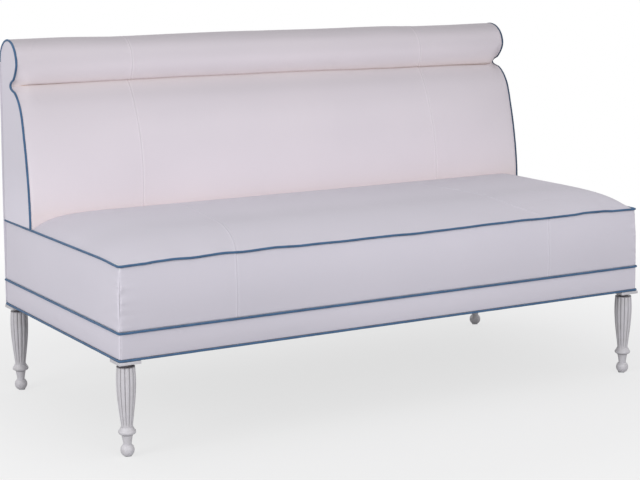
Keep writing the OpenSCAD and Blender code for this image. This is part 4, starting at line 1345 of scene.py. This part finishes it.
def makeLeg(name, node, sx, sy):
    s = legShape
    blockZ = body["bandBottom"] - body["seamGap"] - s["blockH"]
    bulbTop = blockZ - s["recessH"]
    ballZ = s["glideH"] + s["ballR"] - s["ballCut"]
    neckZ = ballZ + sqrt(s["ballR"] ** 2 - s["neckFootR"] ** 2)
    ringZ = neckZ + s["neckH"]
    bulbZ = ringZ + s["ringH"]
    low, high = -asin(1 - s["ballCut"] / s["ballR"]), acos(s["neckFootR"] / s["ballR"])
    turned = [(0, s["glideH"])] + arcRound((0, ballZ), s["ballR"], s["ballR"], low, high, 14)
    turned += blend((s["neckFootR"], neckZ), (s["neckTopR"], ringZ), 8, 1.2)
    # the ring has a flat underside, a round lower edge and a sloping top
    rim = (s["ringR"] - s["ringRound"], ringZ + s["ringMid"])
    turned += arcRound(rim, s["ringRound"], s["ringRise"], radians(-90), radians(32), 10)
    turned += blend(turned[-1], (s["bulbFootR"] + 1.2 * mm, bulbZ), 5, 0.9)
    turned += [(bulbRadius(k / 48), bulbZ + (bulbTop - bulbZ) * k / 48) for k in range(49)]
    turned += [(s["recessR"] + 3 * mm, bulbTop + 0.3 * mm), (s["recessR"], bulbTop + 0.8 * mm)]
    turned += [(s["recessR"], blockZ + 1 * mm), (0, blockZ + 1 * mm)]
    bm = bmesh.new()
    verts = [bm.verts.new((r, 0, z)) for r, z in turned]
    edges = [bm.edges.new(pair) for pair in zip(verts, verts[1:])]
    bmesh.ops.spin(
        bm, geom=verts + edges, cent=(0, 0, 0), axis=(0, 0, 1), angle=2 * pi,
        steps=s["reeds"] * s["perReed"], use_merge=True, use_duplicate=False,
    )
    bmesh.ops.remove_doubles(bm, verts=bm.verts[:], dist=0.01 * mm)
    # painted shade: darker at the bulb's foot, under the ring, in the recess under the block and in the
    # reeds' grooves
    groove = layerOf(bm, "groove")
    for vert in bm.verts:
        p = vert.co
        t = (p.z - bulbZ) / (bulbTop - bulbZ)
        radius = hypot(p.x, p.y)
        if abs(p.z - bulbZ) < 0.5 * mm:
            vert[groove] = 0.45
        elif abs(p.z - ringZ) < 0.7 * mm and radius > s["neckFootR"] + 2 * mm:
            vert[groove] = 0.85
        elif t > 1:
            vert[groove] = 0.9
        if not 0 < t <= 1 or radius < s["recessR"] - 2 * mm:
            continue
        off = atan2(p.y, p.x) % (2 * pi / s["reeds"]) / (pi / s["reeds"]) - 1
        cut = (1 - sqrt(1 - 0.97 * off * off)) / (1 - sqrt(0.03))
        fade = smoothStep(0.0, 0.07, t)
        depth = s["reedDepth"] * fade * radius / s["bulbR"]
        # the reeds' ends are rounded off under the recess
        dome = s["dome"] * max(0, (t - 0.975) / 0.025) ** 2
        p.xy = p.xy * (radius - depth * cut - dome) / radius
        vert[groove] = 0.8 * fade * smoothStep(0.35, 1, cut)
    block = bmesh.ops.create_cube(bm, size=1)["verts"]
    bmesh.ops.scale(bm, vec=(s["block"], s["block"], s["blockH"]), verts=block)
    bmesh.ops.translate(bm, vec=(0, 0, blockZ + s["blockH"] / 2), verts=block)
    sharp = list({e for v in block for e in v.link_edges})
    bmesh.ops.bevel(
        bm, geom=sharp, offset=0.9 * mm, segments=3, profile=0.5, affect="EDGES", material=-1,
        offset_type="OFFSET",
    )
    bmesh.ops.recalc_face_normals(bm, faces=bm.faces[:])
    out = s["blockOut"] - s["block"] / 2
    place = (sx * (body["halfW"] + out), sy * (body["halfD"] + out), 0)
    bmesh.ops.translate(bm, vec=place, verts=bm.verts[:])
    finishSolid(name, bm, "leg_paint", node, 38)


for sy, front in ((-1, "front"), (1, "rear")):
    for sx, word in ((-1, "Left"), (1, "Right")):
        makeLeg(front + word + "Leg", front + "_" + word.lower() + "_leg", sx, sy)
print("legs made")


# what stays from the frame gets its finish
for row in frame["record"]["subparts"]:
    for materialSlot in frame["nodes"][row["node"]].material_slots:
        materialSlot.material = finishes[row["material_slot"]]
print("inner parts finished")


# floor and light

stageLook = {
    "floor": colour(0.62, 0.62, 0.63),
    "shown": 0.30,
    "whiteFrom": 0.9,
    "whiteAt": 2.4,
    "ambient": 0.60,
    "lamps": [
        # name, place, size, watts
        ("front", (-0.6, -4.6, 1.9), 3.4, 66.0),
        ("left", (-4.4, -1.2, 2.2), 2.6, 68.0),
        ("above", (0.6, -0.6, 3.6), 3.2, 2.0),
    ],
}


def makeFloor():
    bm = bmesh.new()
    bmesh.ops.create_grid(bm, x_segments=1, y_segments=1, size=30)
    f = Finish("paleFloor", 0.9, Specular_IOR_Level=0.1)
    f.feed(stageLook["floor"], f.sockets["Base Color"])
    # to the camera the floor is mostly plain white, and far from the object wholly so
    flat = f.add("VectorMath", {0: f.place}, operation="LENGTH").outputs["Value"]
    reach = {"From Min": stageLook["whiteFrom"], "From Max": stageLook["whiteAt"]}
    far = f.add("MapRange", {"Value": flat, **reach, "To Min": 1 - stageLook["shown"], "To Max": 1.0})
    share = f.calc("MULTIPLY", far.outputs[0], f.add("LightPath").outputs["Is Camera Ray"])
    diffuse = f.tree.nodes["Principled BSDF"].outputs[0]
    white = f.add("Emission", {"Strength": 1.0}).outputs[0]
    mixed = f.add("MixShader", {0: share, 1: diffuse, 2: white}).outputs[0]
    f.feed(mixed, f.tree.nodes["Material Output"].inputs["Surface"])
    floor = toPiece("floor", bm, f.material)


def lightStage():
    world = bpy.data.worlds.new("studio")
    bpy.context.scene.world = world
    world.use_nodes = True
    t = Tree(world.node_tree)
    shown = t.add("LightPath").outputs
    mirrored = t.calc("MAXIMUM", shown["Is Glossy Ray"], shown["Is Transmission Ray"])
    seen = t.calc("MAXIMUM", shown["Is Camera Ray"], mirrored)
    sky = t.tree.nodes["Background"].inputs
    t.feed(t.calc("MULTIPLY_ADD", seen, 1 - stageLook["ambient"], stageLook["ambient"]), sky["Strength"])
    t.feed(grey(1.0), sky["Color"])
    for name, place, size, watts in stageLook["lamps"]:
        data = bpy.data.lights.new(name, "AREA")
        data.shape, data.size, data.energy = "DISK", size, watts
        lamp = addObject(name, data)
        lamp.location = place
        lamp.rotation_euler = (Vector((0, 0, 0.5)) - Vector(place)).to_track_quat("-Z", "Y").to_euler()


makeFloor()
lightStage()
bpy.context.scene.view_settings.view_transform = "Standard"
print("stage lit")
